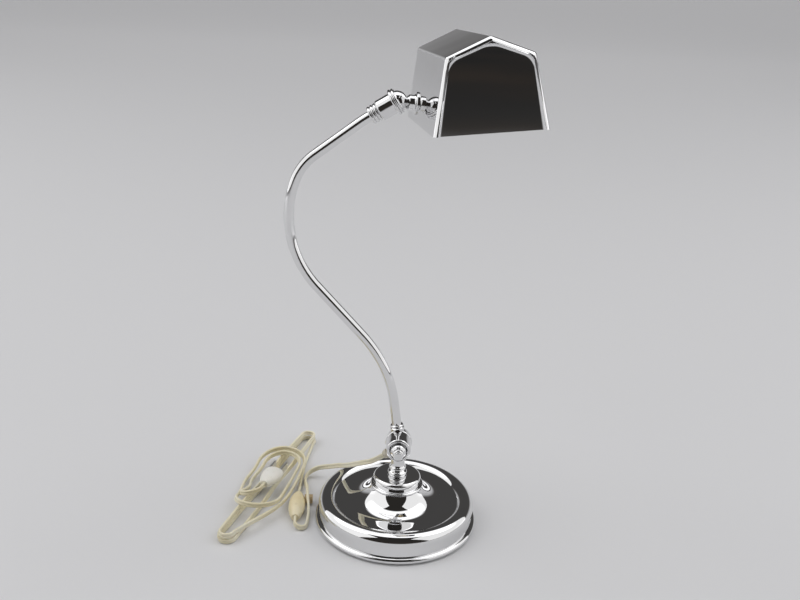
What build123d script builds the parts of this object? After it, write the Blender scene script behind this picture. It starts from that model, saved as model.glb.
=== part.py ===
from build123d import *
import math
import os

# A chromed desk lamp: a weighted spun base, a tilting S-shaped arm on a friction knuckle, and a gabled
# trough shade on a ball joint, with a flat cord, an in-line switch and a plug.
# Millimetres. The origin is the centre of the underside, +Z is up, +X is right, +Y is away from the viewer.

# Fits
slip = 0.05             # radial clearance of a turning or sliding fit
face_gap = 0.1          # between flat faces that turn on each other
clear = 0.5             # between pieces that only pass each other

# Base
base_radius = 78.0      # outside of the foot bead
foot_bead = 3.0         # section radius of the bead round the foot
shell_lift = 0.5        # the felt stands proud of the shell by this much
shell_wall = 1.2
skirt_inset = 3.4       # from the bead's outside in to the plain skirt
ring_section = 8.5      # section radius of the rolled ring
ring_height = 18.8      # height of that section's centre
ring_lip = 0.4          # the ring overhangs the skirt by this much
dish_drop = 3.8         # from the ring's crest down to the dish
bell_sweep = 23.4       # radius of the concave flare
bell_rise = 15.0
cap_radius = 22.8
cap_step = 2.2          # from the cap's wall out to the top of the flare
cap_height = 11.0
cap_round = 3.2
cap_bead = 1.25
felt_thickness = 2.0
weight_rim = 13.2       # height of the cast weight's rim
recess_radius = 16.0    # pocket for the nut under the weight
recess_depth = 11.0
stud_radius = 4.75
stud_bore = 3.0
nut_across = 17.0
nut_height = 6.0
washer_radius = 12.0
washer_thickness = 1.5

# Neck, a turned stack of rings
neck_radius = 6.6
neck_ring = 9.4
neck_ring_height = 4.5
neck_upper_ring = 8.2
neck_upper_height = 4.0
neck_socket = 10.0      # depth that the stud screws into the neck

# Knuckle, turned about a level axis along Y
pivot_height = 80.5
cup_front = -12.5
cup_front_radius = 11.4
cup_split = 3.8         # back face of the fixed cup
cup_split_radius = 12.2
cup_wall = 1.7
cup_dish = 1.3          # depth of the dished front face
cup_seat = 7.6
boss_radius = 5.2
arm_cup_back = 15.2
arm_cup_radius = 11.9
arm_bead = 12.7
bolt_radius = 3.0
bolt_head_radius = 5.6
bolt_head = 3.2
friction_radius = 8.5
friction_thickness = 1.3
spring_thickness = 1.0
knob_radius = 7.5
knob_waist = 5.3
knob_tip = 4.3
knob_length = 11.6
bushing_angle = 215.0   # place round the fixed cup, seen from the front
bushing_y = -4.0
bushing_radius = 3.4
bushing_flange = 4.6
bushing_reach = 16.6    # from the pivot to the bushing's outer face

# Arm, a bent tube in a plane parallel to XZ
arm_y = 9.5
arm_lean = 9.0          # how far the foot leans to the left of upright
tube_radius = 4.6
tube_wall = 1.0
foot_run = 42.0         # from the pivot to the first bend
lower_bend = 125.0
lower_turn = 34.0
middle_run = 62.0
upper_bend = 95.0
upper_turn = 62.5
shoulder_bend = 49.0
shoulder_turn = 33.0
last_run = 46.0
tip_bend = 150.0
tip_turn = 5.5
wire_radius = 2.0
collar_radius = 6.4
collar_height = 5.0

# Ball connector, lengths along the arm's end axis from the end of the bent tube
collar_back = -1.5
rib_count = 3
rib_pitch = 2.85
rib_radius = 8.0
rib_root = 6.9
tube_depth = 4.0
spigot_radius = 5.5
spigot_length = 6.0
barrel_length = 13.4
barrel_radius = 9.0
barrel_nose = 8.2
cap_length = 6.0
cap_bead_radius = 11.7
ball_radius = 8.6
ball_seat = 0.1         # clearance round the ball
ball_ahead = 4.0        # from the barrel's end to the ball's centre
socket_neck = 3.0       # wire hole between the barrel and the ball
neck_waist = 4.2
neck_collar = 6.7       # thick part of the neck in front of the ball
neck_flange = 9.6
flange_thickness = 1.0
neck_length = 17.0      # from the ball's centre to the shade's wall
wire_bore = 2.2
nipple_radius = 4.0
nipple_depth = 4.0
lock_across = 13.0
lock_height = 3.0

# Shade, a trough folded from sheet, in its own frame: Y along it, Z up, the front at Y = 0
shade_mouth = 92.6      # width at the open bottom
shade_shoulder = 70.0   # width at the knees
shade_knee = 58.2
shade_ridge = 72.3
shade_sheet = 0.9
fold_radius = 1.6
rim_depth = 4.0
rim_width = 3.8
rim_round = 2.2
plate_depth = 2.4       # the end plate lies this far behind the rim
plate_corner = 7.0      # rounding of the plate's upper corners
spigot_lap = 5.0        # the end's collar inside the trough
joint_along = 89.0      # from the front to the neck
joint_up = 15.0
shade_yaw = 9.6
shade_pitch = -1.0
shade_roll = -5.0

# Lamp holder and lamp, on an axis along the trough
holder_up = 35.0
bracket_width = 14.0
bracket_sheet = 1.2
bracket_tail = 9.0
holder_cap_radius = 15.0
holder_cap_length = 13.0
holder_radius = 16.0
holder_length = 34.0
holder_wall = 0.8
insulator_length = 8.0
screw_radius = 3.0
screw_head = 5.0
lamp_cap_radius = 13.0
lamp_cap_length = 24.0
lamp_radius = 20.0
lamp_length = 46.0
lamp_neck = 11.5
lamp_seat = 4.0         # the glass starts this far in front of the holder
lamp_front_gap = 10.0   # from the front of the shade to the glass
bracket_back_gap = 18.0 # from the bracket to the back of the shade

# Flat twin cord, modelled as a round tube of its full width
cord_radius = 2.6
layer = 5.95            # one turn lying on another
lead_out = 12.0         # straight out of the bushing
lead_in = 8.9           # straight into the switch
lead_route = [
    (-33.4, 5.5, 56.3), (-42.6, 20.5, 45.4), (-51.8, 36.0, 34.4), (-60.5, 48.6, 26.8), (-68.6, 57.8, 19.0),
    (-75.0, 64.3, 13.2), (-81.0, 65.8, 9.8), (-87.0, 64.1, 6.6), (-91.3, 59.6, 4.3), (-92.8, 53.2, 3.4),
    (-92.0, 44.5, 5.0), (-90.8, 36.5, 8.6), (-89.6, 28.0, 12.4), (-88.6, 19.0, 14.2), (-87.2, 10.5, 11.8),
    (-85.4, 2.5, 7.4), (-84.4, -6.0, 4.0), (-84.3, -15.5, 2.9), (-84.4, -25.9, 2.8), (-87.8, -29.3, 2.9),
    (-92.6, -29.3, 4.0),
]
link_spot = (-98.8, 41.0)   # the hank comes down to the table here
link_heading = 91.5
hank_centre = (-128.5, 46.0)
hank_heading = 254.1    # of the hank's long axis towards the viewer, from +X
long_reach = 106.0      # half length of a long loop
long_fold = 11.0        # radius of its ends
long_waist = 6.0        # half width where the hank is drawn in
long_count = 2
round_side = 32.0       # half length of a round loop's side
round_width = 26.5      # half width of the outermost one
round_step = 3.0        # each half turn lies this much further in
half_count = 4

# Switch and plug on the cord
switch_spot = (-97.0, 4.0)
switch_heading = 92.0
switch_length = 42.0
switch_radius = 8.2
switch_end = 3.6
switch_axis = 5.6       # height of the cord through it
wheel_radius = 4.4
wheel_length = 8.0
wheel_along = 13.0
wheel_start = 6.6
wheel_shaft = 1.5
groove_count = 16
plug_rear = 26.0        # along the hank's axis; the plug points away from the viewer
plug_side = 4.0
plug_length = 26.0
plug_width = 10.0
plug_half_height = 6.4
plug_tail = 4.0
plug_height = 18.2
blade_length = 16.0
blade_width = 6.35
blade_thickness = 1.5
blade_spacing = 12.7

# Values worked out from the sizes above
skirt_radius = base_radius - skirt_inset
ring_radius = skirt_radius + ring_lip - ring_section
dish_height = ring_height + ring_section - dish_drop
bell_top = dish_height + bell_rise
throat_radius = cap_radius + cap_step
bell_foot = throat_radius + math.sqrt(bell_sweep**2 - (bell_sweep - bell_rise) ** 2)
cap_top = bell_top + cap_height
recess_top = felt_thickness + recess_depth
bolt_hole = bolt_radius + slip
cup_seat_y = cup_front + cup_dish
bracket_along = lamp_front_gap + lamp_length + lamp_seat + holder_length + holder_cap_length
shade_length = bracket_along + bracket_back_gap
ball_reach = collar_back + rib_count * rib_pitch + face_gap + barrel_length + ball_ahead


def section(start, *steps):
    """Closed face in XZ. A step is an end point, or a point on an arc followed by the arc's end point."""
    edges = []
    here = start
    closing = () if math.dist(steps[-1][-2:], start) < 1e-6 else (start,)
    for step in steps + closing:
        there = step[-2:]
        if len(step) == 4:
            edges.append(ThreePointArc((here[0], 0, here[1]), (step[0], 0, step[1]), (there[0], 0, there[1])))
        else:
            edges.append(Line((here[0], 0, here[1]), (there[0], 0, there[1])))
        here = there
    return make_face(edges)


def turned(*outline):
    """Solid turned about Z from a half section of (radius, height) points."""
    return revolve(section(*outline), axis=Axis.Z)


def rod(radius, low, high):
    """Round bar on the Z axis between two heights."""
    return Pos(0, 0, low) * Cylinder(radius, high - low, align=(Align.CENTER, Align.CENTER, Align.MIN))


def hexagon(across, bore, low, high):
    """Hexagonal nut on the Z axis."""
    blank = extrude(RegularPolygon(across / 2, 6, major_radius=False), high - low)
    return Pos(0, 0, low) * blank - rod(bore, low - 1, high + 1)


def base_outline(inset, floor):
    """Half section of the spun base, lying inset inside its skin and open down to floor."""
    ring = ring_section - inset
    skirt = skirt_radius - inset
    dish = dish_height - inset
    flare = bell_sweep + inset
    under = math.sqrt(ring**2 - (skirt - ring_radius) ** 2)
    inner = math.sqrt(ring**2 - (dish - ring_height) ** 2)
    flare_centre = dish_height + bell_sweep
    throat = bell_foot - math.sqrt(flare**2 - (flare_centre - bell_top) ** 2)
    corner = cap_round - inset
    wall = cap_radius - inset
    top = cap_top - inset
    slant = math.radians(55)
    diagonal = corner * (1 - math.sqrt(0.5))
    return section(
        (0, floor),
        (skirt, floor),
        (skirt, ring_height - under),
        (ring_radius, ring_height + ring, ring_radius - inner, dish),
        (bell_foot, dish),
        (bell_foot - flare * math.sin(slant), flare_centre - flare * math.cos(slant), throat, bell_top),
        (wall, bell_top),
        (wall, top - corner),
        (wall - diagonal, top - diagonal, wall - corner, top),
        (0, top),
    )


def base_shell():
    """Spun skin of the base with its foot bead and the bead under the cap."""
    skin = revolve(base_outline(0, shell_lift), axis=Axis.Z)
    bead = Pos(base_radius - foot_bead, 0, shell_lift + foot_bead) * Rot(90, 0, 0) * Circle(foot_bead)
    collar = Pos(cap_radius + cap_step / 2, 0, bell_top + cap_bead) * Rot(90, 0, 0) * Circle(cap_bead)
    skin += revolve(bead, axis=Axis.Z)
    skin += revolve(collar, axis=Axis.Z)
    skin -= revolve(base_outline(shell_wall, shell_lift - 1), axis=Axis.Z)
    return skin - rod(stud_radius + slip, 0, cap_top + 1)


def base_weight():
    """Cast weight that fills the shell and carries the cap on its boss."""
    inset = shell_wall + clear
    rim = skirt_radius - inset
    shoulder = ring_radius - ring_section
    seat = cap_top - shell_wall
    boss = cap_radius - cap_round - shell_wall
    flare = bell_sweep + inset
    flare_centre = dish_height + bell_sweep
    slant = math.radians(35)
    top = bell_top - 4.0
    weight = turned(
        (stud_radius + slip, felt_thickness),
        (rim, felt_thickness),
        (rim, felt_thickness + weight_rim),
        (shoulder, dish_height - inset),
        (bell_foot, dish_height - inset),
        (bell_foot - flare * math.sin(slant), flare_centre - flare * math.cos(slant),
         bell_foot - math.sqrt(flare**2 - (flare_centre - top) ** 2), top),
        (boss, bell_top),
        (boss, seat),
        (stud_radius + slip, seat),
    )
    return weight - rod(recess_radius, 0, recess_top)


def neck():
    """Ringed column between the cap and the knuckle, its top saddled to the fixed cup."""
    low = cap_top
    groove = low + neck_ring_height
    second = groove + 1.2
    upper = second + neck_upper_height
    top = pivot_height - cup_front_radius / 2
    column = turned(
        (stud_radius + slip, low),
        (neck_ring - 1.4, low),
        (neck_ring, low + neck_ring_height / 2, neck_ring - 1.4, groove),
        (neck_ring - 2.2, groove + 0.6),
        (neck_upper_ring - 1.0, second),
        (neck_upper_ring, second + neck_upper_height / 2, neck_upper_ring - 1.0, upper),
        (neck_radius, upper + 1.0),
        (neck_radius, top),
        (0, top),
        (0, low + neck_socket),
        (stud_radius + slip, low + neck_socket),
    )
    swing = pivot * rod(arm_bead + clear, cup_split - face_gap, arm_cup_back)
    return column - pivot * fixed_cup_blank() - swing


def fixed_cup_blank():
    """Outside of the fixed cup, turned about the pivot."""
    rim = cup_front_radius - 1.0
    return turned(
        (0, cup_seat_y),
        (cup_seat, cup_seat_y),
        (rim - 1.0, cup_seat_y - 0.4),
        (rim, cup_front, cup_front_radius, cup_front + 1.2),
        (cup_split_radius, cup_split),
        (0, cup_split),
    )


def fixed_cup():
    """Front half of the knuckle, open at the back round a boss for the bolt."""
    boss_end = cup_split - (friction_thickness - face_gap) / 2
    hollow_front = cup_front + 3.5
    hollow = turned(
        (boss_radius, hollow_front),
        (cup_front_radius - cup_wall, hollow_front),
        (cup_split_radius - cup_wall, cup_split + 1),
        (0, cup_split + 1),
        (0, boss_end),
        (boss_radius, boss_end),
    )
    cup = fixed_cup_blank() - hollow - rod(bolt_hole, cup_front - 1, cup_split + 1)
    return pivot * cup - bushing_axis * rod(bushing_radius + slip, boss_radius + 2, bushing_reach)


def cord_bushing():
    """Tapered bushing where the cord enters the fixed cup."""
    plug = turned(
        (0, cup_front_radius - cup_wall - 1),
        (bushing_radius, cup_front_radius - cup_wall - 1),
        (bushing_radius, cup_split_radius + 0.2),
        (bushing_flange, cup_split_radius + 0.2),
        (bushing_flange, cup_split_radius + 1.4),
        (bushing_radius, bushing_reach),
        (0, bushing_reach),
    )
    return bushing_axis * plug


def arm_cup():
    """Back half of the knuckle, which carries the arm in a socket on its top."""
    front = cup_split + face_gap
    boss_front = cup_split + (friction_thickness + face_gap) / 2
    hollow_back = arm_cup_back - 2.4
    bead_back = front + 2.6
    cup = turned(
        (bolt_hole, boss_front),
        (boss_radius, boss_front),
        (boss_radius, hollow_back),
        (arm_cup_radius - cup_wall, hollow_back),
        (arm_cup_radius - cup_wall, front),
        (arm_bead - 1.2, front),
        (arm_bead, front + 1.3, arm_cup_radius, bead_back),
        (arm_cup_radius, arm_cup_back - 3.2),
        (arm_cup_radius - 1.2, arm_cup_back - 0.9, arm_cup_radius - 4.2, arm_cup_back),
        (bolt_hole, arm_cup_back),
    )
    socket = arm_foot * rod(collar_radius, boss_radius + 3, arm_bead)
    keep_clear = pivot * rod(arm_bead + 1, cup_front, front)
    hollow = pivot * rod(arm_cup_radius - cup_wall, front, hollow_back)
    socket = socket - keep_clear - hollow
    return pivot * cup + socket - arm_foot * rod(tube_radius + slip, boss_radius + 2, arm_bead + 2)


def arm_collar():
    """Small turned collar that hides the joint of tube and knuckle."""
    high = arm_bead + collar_height
    return arm_foot * turned(
        (tube_radius + slip, arm_bead),
        (collar_radius, arm_bead),
        (collar_radius, arm_bead + 1.6),
        (collar_radius - 0.8, arm_bead + 2.2),
        (collar_radius - 0.1, arm_bead + 3.4, collar_radius - 1.2, high),
        (tube_radius + slip, high),
    )


def dome(radius, low, high):
    """Step over a domed end, from its rim at low up to the axis at high."""
    rise = high - low
    ball = (radius**2 + rise**2) / (2 * rise)
    return (radius / 2, high - ball + math.sqrt(ball**2 - radius**2 / 4), 0, high)


def pivot_bolt():
    """Bolt through both cups, with a domed head at the back and the knob's thread at the front."""
    head = arm_cup_back + face_gap
    tip = cup_front - knob_length + 2.2
    return pivot * turned(
        (0, tip),
        (bolt_radius, tip),
        (bolt_radius, head),
        (bolt_head_radius, head),
        (bolt_head_radius, head + 1.0),
        dome(bolt_head_radius, head + 1.0, head + bolt_head),
    )


def friction_disc():
    """Fibre disc pinched between the bosses of the two cups."""
    middle = cup_split + face_gap / 2
    half = friction_thickness / 2 - face_gap / 2
    return pivot * (rod(friction_radius, middle - half, middle + half) - rod(bolt_hole, cup_front, arm_cup_back))


def spring_washer():
    """Coned washer under the thumb knob."""
    back = cup_seat_y - face_gap / 2
    return pivot * turned(
        (bolt_hole, back - spring_thickness),
        (bolt_hole + 1.2, back - spring_thickness),
        (cup_seat - 1.0, back - 0.5),
        (cup_seat - 1.0, back),
        (bolt_hole + 1.2, back - 0.4),
        (bolt_hole, back - 0.4),
    )


def thumb_knob():
    """Stepped clamping knob on the front of the bolt."""
    back = cup_seat_y - spring_thickness - face_gap
    front = cup_front - knob_length
    step = (back - front) / 6
    return pivot * turned(
        (bolt_hole, back),
        (knob_radius - 0.5, back),
        (knob_radius, back - step * 0.9, knob_radius - 0.4, back - step * 1.8),
        (knob_waist + 0.6, back - step * 2.4),
        (knob_waist, back - step * 2.8),
        (knob_waist, back - step * 3.9),
        (knob_waist - 0.4, back - step * 4.2, knob_tip, back - step * 4.5),
        (knob_tip, front + 0.8),
        (knob_tip - 0.3, front + 0.25, knob_tip - 0.9, front),
        (0, front),
        (0, front + 2.0),
        (bolt_hole, front + 2.0),
    )


def bent_path(begin):
    """Edges of the arm's centre line from a distance begin along its foot, with its end point and heading."""
    runs = [
        (foot_run - begin, 0), (lower_bend, lower_turn), (middle_run, 0), (upper_bend, -upper_turn),
        (shoulder_bend, -shoulder_turn), (last_run, 0), (tip_bend, -tip_turn),
    ]
    heading = 90.0 + arm_lean
    here = Vector(0, arm_y, pivot_height) + along(heading) * begin
    edges = []
    for size, turn in runs:
        if turn == 0:
            there = here + along(heading) * size
            edges.append(Line(here, there))
        else:
            side = math.copysign(90.0, turn)
            centre = here + along(heading + side) * size
            middle = centre - along(heading + side + turn / 2) * size
            there = centre - along(heading + side + turn) * size
            edges.append(ThreePointArc(here, middle, there))
            heading += turn
        here = there
    return edges, here, heading


def along(heading):
    """Unit vector in the arm's plane, at an angle from +X towards +Z."""
    return Vector(math.cos(math.radians(heading)), 0, math.sin(math.radians(heading)))


def bent_bar(radius, begin, extra):
    """Round bar along the arm's centre line, carried straight on past its end by extra."""
    edges, end, heading = bent_path(begin)
    edges.append(Line(end, end + along(heading) * extra))
    start = Plane(origin=edges[0] @ 0, z_dir=edges[0] % 0)
    return sweep(start * Circle(radius), path=Wire(edges))


def arm_tube():
    """Bent tube of the arm, hollow for the wire."""
    begin = boss_radius + 3.0
    return bent_bar(tube_radius, begin, tube_depth) - bent_bar(tube_radius - tube_wall, begin - 1, tube_depth + 1)


def arm_wire():
    """Two-core wire inside the arm tube."""
    return bent_bar(wire_radius, boss_radius + 2.5, tube_depth)


def upper_collar():
    """Ribbed collar on the arm's end, with the spigot that the barrel turns on."""
    rib_end = collar_back + rib_count * rib_pitch
    outline = [(tube_radius + slip, collar_back), (rib_root, collar_back)]
    for rib in range(rib_count):
        low = collar_back + rib * rib_pitch
        outline.append((rib_radius, low + rib_pitch / 2, rib_root, low + rib_pitch))
    outline += [
        (spigot_radius, rib_end),
        (spigot_radius, rib_end + spigot_length),
        (wire_bore, rib_end + spigot_length),
        (wire_bore, tube_depth),
        (tube_radius + slip, tube_depth),
    ]
    return arm_tip * turned(*outline)


def ball_arc(radius, from_height, to_height):
    """Step along a circle about the ball's centre, between two heights on the arm's end axis."""
    middle = (from_height + to_height) / 2
    return (
        math.sqrt(radius**2 - (middle - ball_reach) ** 2), middle,
        math.sqrt(radius**2 - (to_height - ball_reach) ** 2), to_height,
    )


def swivel_barrel():
    """Barrel that turns on the spigot and holds the back of the ball."""
    seat = ball_radius + ball_seat
    low = collar_back + rib_count * rib_pitch + face_gap
    high = low + barrel_length
    mouth = math.sqrt(seat**2 - (high - ball_reach) ** 2)
    bottom = ball_reach - math.sqrt(seat**2 - socket_neck**2)
    return arm_tip * turned(
        (spigot_radius + slip, low),
        (barrel_nose, low),
        (barrel_radius - 0.25, low + 0.6, barrel_radius, low + 1.8),
        (barrel_radius, high),
        (mouth, high),
        ball_arc(seat, high, bottom),
        (socket_neck, low + spigot_length + face_gap),
        (spigot_radius + slip, low + spigot_length + face_gap),
    )


def swivel_cap():
    """Double-beaded cap that keeps the ball in the barrel."""
    seat = ball_radius + ball_seat
    low = collar_back + rib_count * rib_pitch + face_gap + barrel_length
    high = low + cap_length
    groove = low + cap_length * 0.5
    mouth = math.sqrt(seat**2 - (low - ball_reach) ** 2)
    lip = math.sqrt(seat**2 - (high - ball_reach) ** 2)
    root = cap_bead_radius - 1.3
    return arm_tip * turned(
        (mouth, low),
        (barrel_radius, low),
        (root, low + 0.3),
        (cap_bead_radius, (low + groove) / 2, root, groove),
        (cap_bead_radius - 0.4, (groove + high) / 2 - 0.2, root - 0.6, high - 0.6),
        (lip + 0.9, high),
        (lip, high),
        ball_arc(seat, high, low),
    )


def ball_neck():
    """Ball, waist, thick collar and flange that carry the shade."""
    flange = neck_length - face_gap
    waist_at = math.sqrt(ball_radius**2 - neck_waist**2)
    back = -math.sqrt(ball_radius**2 - wire_bore**2)
    shoulder = waist_at + neck_collar - neck_waist
    flare = flange - flange_thickness - 0.4
    cove = neck_flange - 0.4 - neck_collar
    bulge = cove * (1 - math.sqrt(0.5))
    return neck_axis * turned(
        (wire_bore, back),
        (ball_radius, 0, neck_waist, waist_at),
        (neck_collar, shoulder),
        (neck_collar, flare - cove),
        (neck_collar + bulge, flare - bulge, neck_collar + cove, flare),
        (neck_flange, flange - flange_thickness),
        (neck_flange, flange),
        (nipple_radius + slip, flange),
        (nipple_radius + slip, flange - nipple_depth),
        (wire_bore, flange - nipple_depth),
    )


def shade_nipple():
    """Threaded tube from the neck through the shade's wall."""
    low = neck_length - face_gap - nipple_depth
    high = neck_length + shade_sheet + bracket_sheet + lock_height + 1.5
    return neck_axis * (rod(nipple_radius, low, high) - rod(wire_bore, low - 1, high + 1))


def lock_nut():
    """Nut inside the shade that clamps it on the nipple."""
    low = neck_length + shade_sheet + bracket_sheet + face_gap
    return neck_axis * hexagon(lock_across, nipple_radius + slip, low, low + lock_height)


def shade_section(inset, corner):
    """Pentagon of the folded trough, inset inside its skin, left open at the bottom by running below it."""
    drop = 0 if inset == 0 else 1
    lean = (shade_mouth - shade_shoulder) / 2 / shade_knee
    roof = math.atan2(shade_ridge - shade_knee, shade_shoulder / 2)
    side = inset * math.hypot(1, lean)
    ridge = shade_ridge - inset / math.cos(roof)
    slope = math.tan(roof)
    wall_top = shade_mouth / 2 - side
    knee_x = (wall_top - lean * ridge) / (1 - lean * slope)
    knee_z = ridge - slope * knee_x
    foot_x = wall_top + lean * drop
    corners = [(-foot_x, -drop), (-knee_x, knee_z), (0, ridge), (knee_x, knee_z), (foot_x, -drop)]
    outline = Plane.XZ * Polygon(*corners, align=None)
    folds = outline.vertices().filter_by(lambda corner: corner.Z > shade_knee / 2)
    return fillet(folds, max(fold_radius - inset, corner))


def trough(inset, front, back, corner=0.3):
    """Pentagonal prism between two distances along the shade, its folds rounded by corner at least."""
    return Pos(0, front, 0) * extrude(shade_section(inset, corner), back - front, dir=(0, 1, 0))


def shade_shell():
    """Folded trough between the two ends, with the neck's hole in its left wall."""
    skin = trough(0, rim_depth, shade_length - rim_depth)
    skin -= trough(shade_sheet, 0, shade_length)
    return shade_place * skin - neck_axis * rod(nipple_radius + slip, neck_length - 2, neck_length + 3)


def shade_end():
    """Pressed end: a rounded rim, a plate set behind it and a collar that laps inside the trough."""
    rim = trough(0, 0, rim_depth)
    edges = rim.edges().filter_by(lambda edge: edge.center().Y < 0.01 and edge.center().Z > 1)
    rim = fillet(edges, rim_round)
    rim -= trough(rim_width, -1, plate_depth, plate_corner)
    rim -= trough(shade_sheet, plate_depth + shade_sheet, rim_depth + 1)
    collar = trough(shade_sheet + slip, plate_depth + shade_sheet, rim_depth + spigot_lap)
    collar -= trough(2 * shade_sheet + slip, plate_depth, rim_depth + spigot_lap + 1)
    ground = Pos(0, 0, -2) * Box(2 * shade_mouth, 4 * rim_depth + 2 * spigot_lap, 4)
    return rim + (collar - ground)


def shade_front_end():
    """End that faces the viewer."""
    return shade_place * shade_end()


def shade_rear_end():
    """The same pressing turned to the back."""
    return shade_place * Pos(0, shade_length, 0) * Rot(0, 0, 180) * shade_end()


def holder_frame():
    """Frame on the lamp's axis at the bracket, with its Z towards the front of the shade."""
    return shade_place * Pos(0, bracket_along, holder_up) * Rot(90, 0, 0)


def holder_bracket():
    """Bent strap: a leg under the lock nut and a plate across the trough that carries the lamp holder."""
    reach = bracket_along + bracket_sheet - joint_along
    leg = Pos(0, (reach - bracket_tail) / 2, neck_length + shade_sheet + bracket_sheet / 2) * Box(
        bracket_width, reach + bracket_tail, bracket_sheet
    )
    leg = wall_frame * leg - neck_axis * rod(nipple_radius + slip, neck_length, neck_length + 6)
    half = bracket_width / 2
    wall_x = joint_local.X + shade_sheet / math.cos(wall_lean)
    eye = holder_cap_radius * 0.6
    corners = [
        (wall_x - half * math.sin(wall_lean), joint_up - half * math.cos(wall_lean)),
        (eye, holder_up - eye),
        (eye, holder_up + eye),
        (-eye, holder_up + eye),
        (wall_x + half * math.sin(wall_lean), joint_up + half * math.cos(wall_lean)),
    ]
    plate = extrude(Plane.XZ * Polygon(*corners, align=None), bracket_sheet, dir=(0, 1, 0))
    plate = shade_place * Pos(0, bracket_along, 0) * plate
    return leg + plate - holder_frame() * rod(screw_radius + slip, -5, 5)


def holder_screw():
    """Hollow screw that fixes the lamp holder to the bracket."""
    shank = rod(screw_radius, -bracket_sheet, 5.0)
    head = turned(
        (0, -bracket_sheet - 2.4),
        (screw_head - 1.2, -bracket_sheet - 2.4),
        (screw_head - 0.3, -bracket_sheet - 1.9, screw_head, -bracket_sheet - 1.0),
        (screw_head, -bracket_sheet),
        (0, -bracket_sheet),
    )
    return holder_frame() * (shank + head)


def holder_cap():
    """Domed cap of the lamp holder, against the bracket."""
    cap = turned(
        (screw_radius + slip, 0),
        (holder_cap_radius - 4, 0),
        (holder_cap_radius - 1.2, 1.4, holder_cap_radius, 5.0),
        (holder_cap_radius, holder_cap_length),
        (holder_cap_radius - holder_wall, holder_cap_length),
        (holder_cap_radius - holder_wall, 5.0),
        (screw_radius + slip, 5.0),
    )
    return holder_frame() * cap


def holder_insulator():
    """Insulating core with the contact, inside the holder."""
    low = holder_cap_length - insulator_length + clear
    core = holder_cap_radius - holder_wall - slip
    return holder_frame() * turned(
        (0, low),
        (core, low),
        (core, holder_cap_length),
        (lamp_cap_radius, holder_cap_length),
        (lamp_cap_radius, holder_cap_length + 1.5),
        (4.0, holder_cap_length + 1.5),
        (3.2, holder_cap_length + 3.0),
        (0, holder_cap_length + 3.0),
    )


def holder_shell():
    """Beaded outer shell round the lamp's screw cap."""
    low = holder_cap_length
    high = low + holder_length
    inner = lamp_cap_radius + 1.2
    return holder_frame() * turned(
        (inner, low),
        (holder_radius - 0.6, low),
        (holder_radius + 0.4, low + 1.6, holder_radius - 0.6, low + 3.2),
        (holder_radius - 0.6, high - 3.2),
        (holder_radius + 0.4, high - 1.6, holder_radius - 0.6, high),
        (lamp_cap_radius + slip, high),
        (lamp_cap_radius + slip, high - 3.0),
        (inner, high - 3.0),
    )


def lamp_cap():
    """Screw cap of the lamp, with its centre contact on the insulator."""
    low = holder_cap_length + 3.0
    seat = holder_cap_length + holder_length - lamp_cap_length + lamp_seat
    return holder_frame() * turned(
        (0, low),
        (4.0, low),
        (6.0, seat - 3.0),
        (lamp_cap_radius, seat),
        (lamp_cap_radius, seat + lamp_cap_length),
        (0, seat + lamp_cap_length),
    )


def lamp_glass():
    """Glass envelope of the lamp."""
    low = holder_cap_length + holder_length + lamp_seat
    ball = low + lamp_length - lamp_radius
    blend = math.radians(40)
    tangent = (lamp_radius * math.cos(blend), ball - lamp_radius * math.sin(blend))
    half = lamp_radius * math.sqrt(0.5)
    return holder_frame() * turned(
        (0, low),
        (lamp_neck, low),
        (lamp_neck, low + 4.0),
        tangent,
        (lamp_radius, ball),
        (half, ball + half, 0, low + lamp_length),
    )


def biarc(start, start_way, end, end_way):
    """Two arcs that join two points with the given directions there."""
    chord = end - start
    ways = start_way + end_way
    curve = 2 * (1 - start_way.dot(end_way))
    lean = chord.dot(ways)
    span = chord.dot(chord)
    if curve < 1e-9:
        reach = span / (2 * lean)
    else:
        reach = (math.sqrt(lean**2 + curve * span) - lean) / curve
    middle = (start + end + (start_way - end_way) * reach) * 0.5
    return [arc_from(start, start_way, middle), arc_from(end, end_way * -1, middle).reversed()]


def arc_from(start, way, end):
    """Arc, or straight line, that leaves start in the given direction and reaches end."""
    if way.cross(end - start).length < 1e-6:
        return Line(start, end)
    return TangentArc(start, end, tangent=way)


def lead_path():
    """Cord from the bushing over the base's rim and the wheel to the switch's near end, as runs and arcs."""
    exit_point = bushing_axis.from_local_coords(Vector(0, 0, bushing_reach))
    straight = bushing_axis.from_local_coords(Vector(0, 0, bushing_reach + lead_out))
    approach = switch_frame.from_local_coords(Vector(0, 0, -switch_length / 2 - lead_in))
    points = [exit_point, straight] + [Vector(*point) for point in lead_route] + [approach, switch_face(-1)]
    radii = []
    for before, corner, after in zip(points, points[1:], points[2:]):
        turn = (corner - before).get_angle(after - corner)
        shorter = min((corner - before).length, (after - corner).length)
        radii.append(0.45 * shorter / math.tan(math.radians(turn / 2)))
    print("lead radii", [round(radius, 1) for radius in radii])
    return Wire(FilletPolyline(*points, radius=radii).edges())


def switch_face(side):
    """Centre of an end face of the switch: -1 is the lamp's side, +1 the plug's."""
    way = math.radians(switch_heading)
    reach = side * switch_length / 2
    return Vector(switch_spot[0] + reach * math.cos(way), switch_spot[1] + reach * math.sin(way), switch_axis)


def hank_point(reach, side, height):
    """Point of the hank: reach along its long axis towards the viewer, side to the viewer's right."""
    way = math.radians(hank_heading)
    ahead = Vector(math.cos(way), math.sin(way))
    right = Vector(-math.sin(way), math.cos(way))
    spot = Vector(*hank_centre) + ahead * reach + right * side
    return Vector(spot.X, spot.Y, height)


def hank_way(turn, rise=0.0):
    """Direction at an angle anticlockwise from the hank's long axis, seen from above, and its rise."""
    way = math.radians(hank_heading + turn)
    return Vector(math.cos(way), math.sin(way), rise).normalized()


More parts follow.
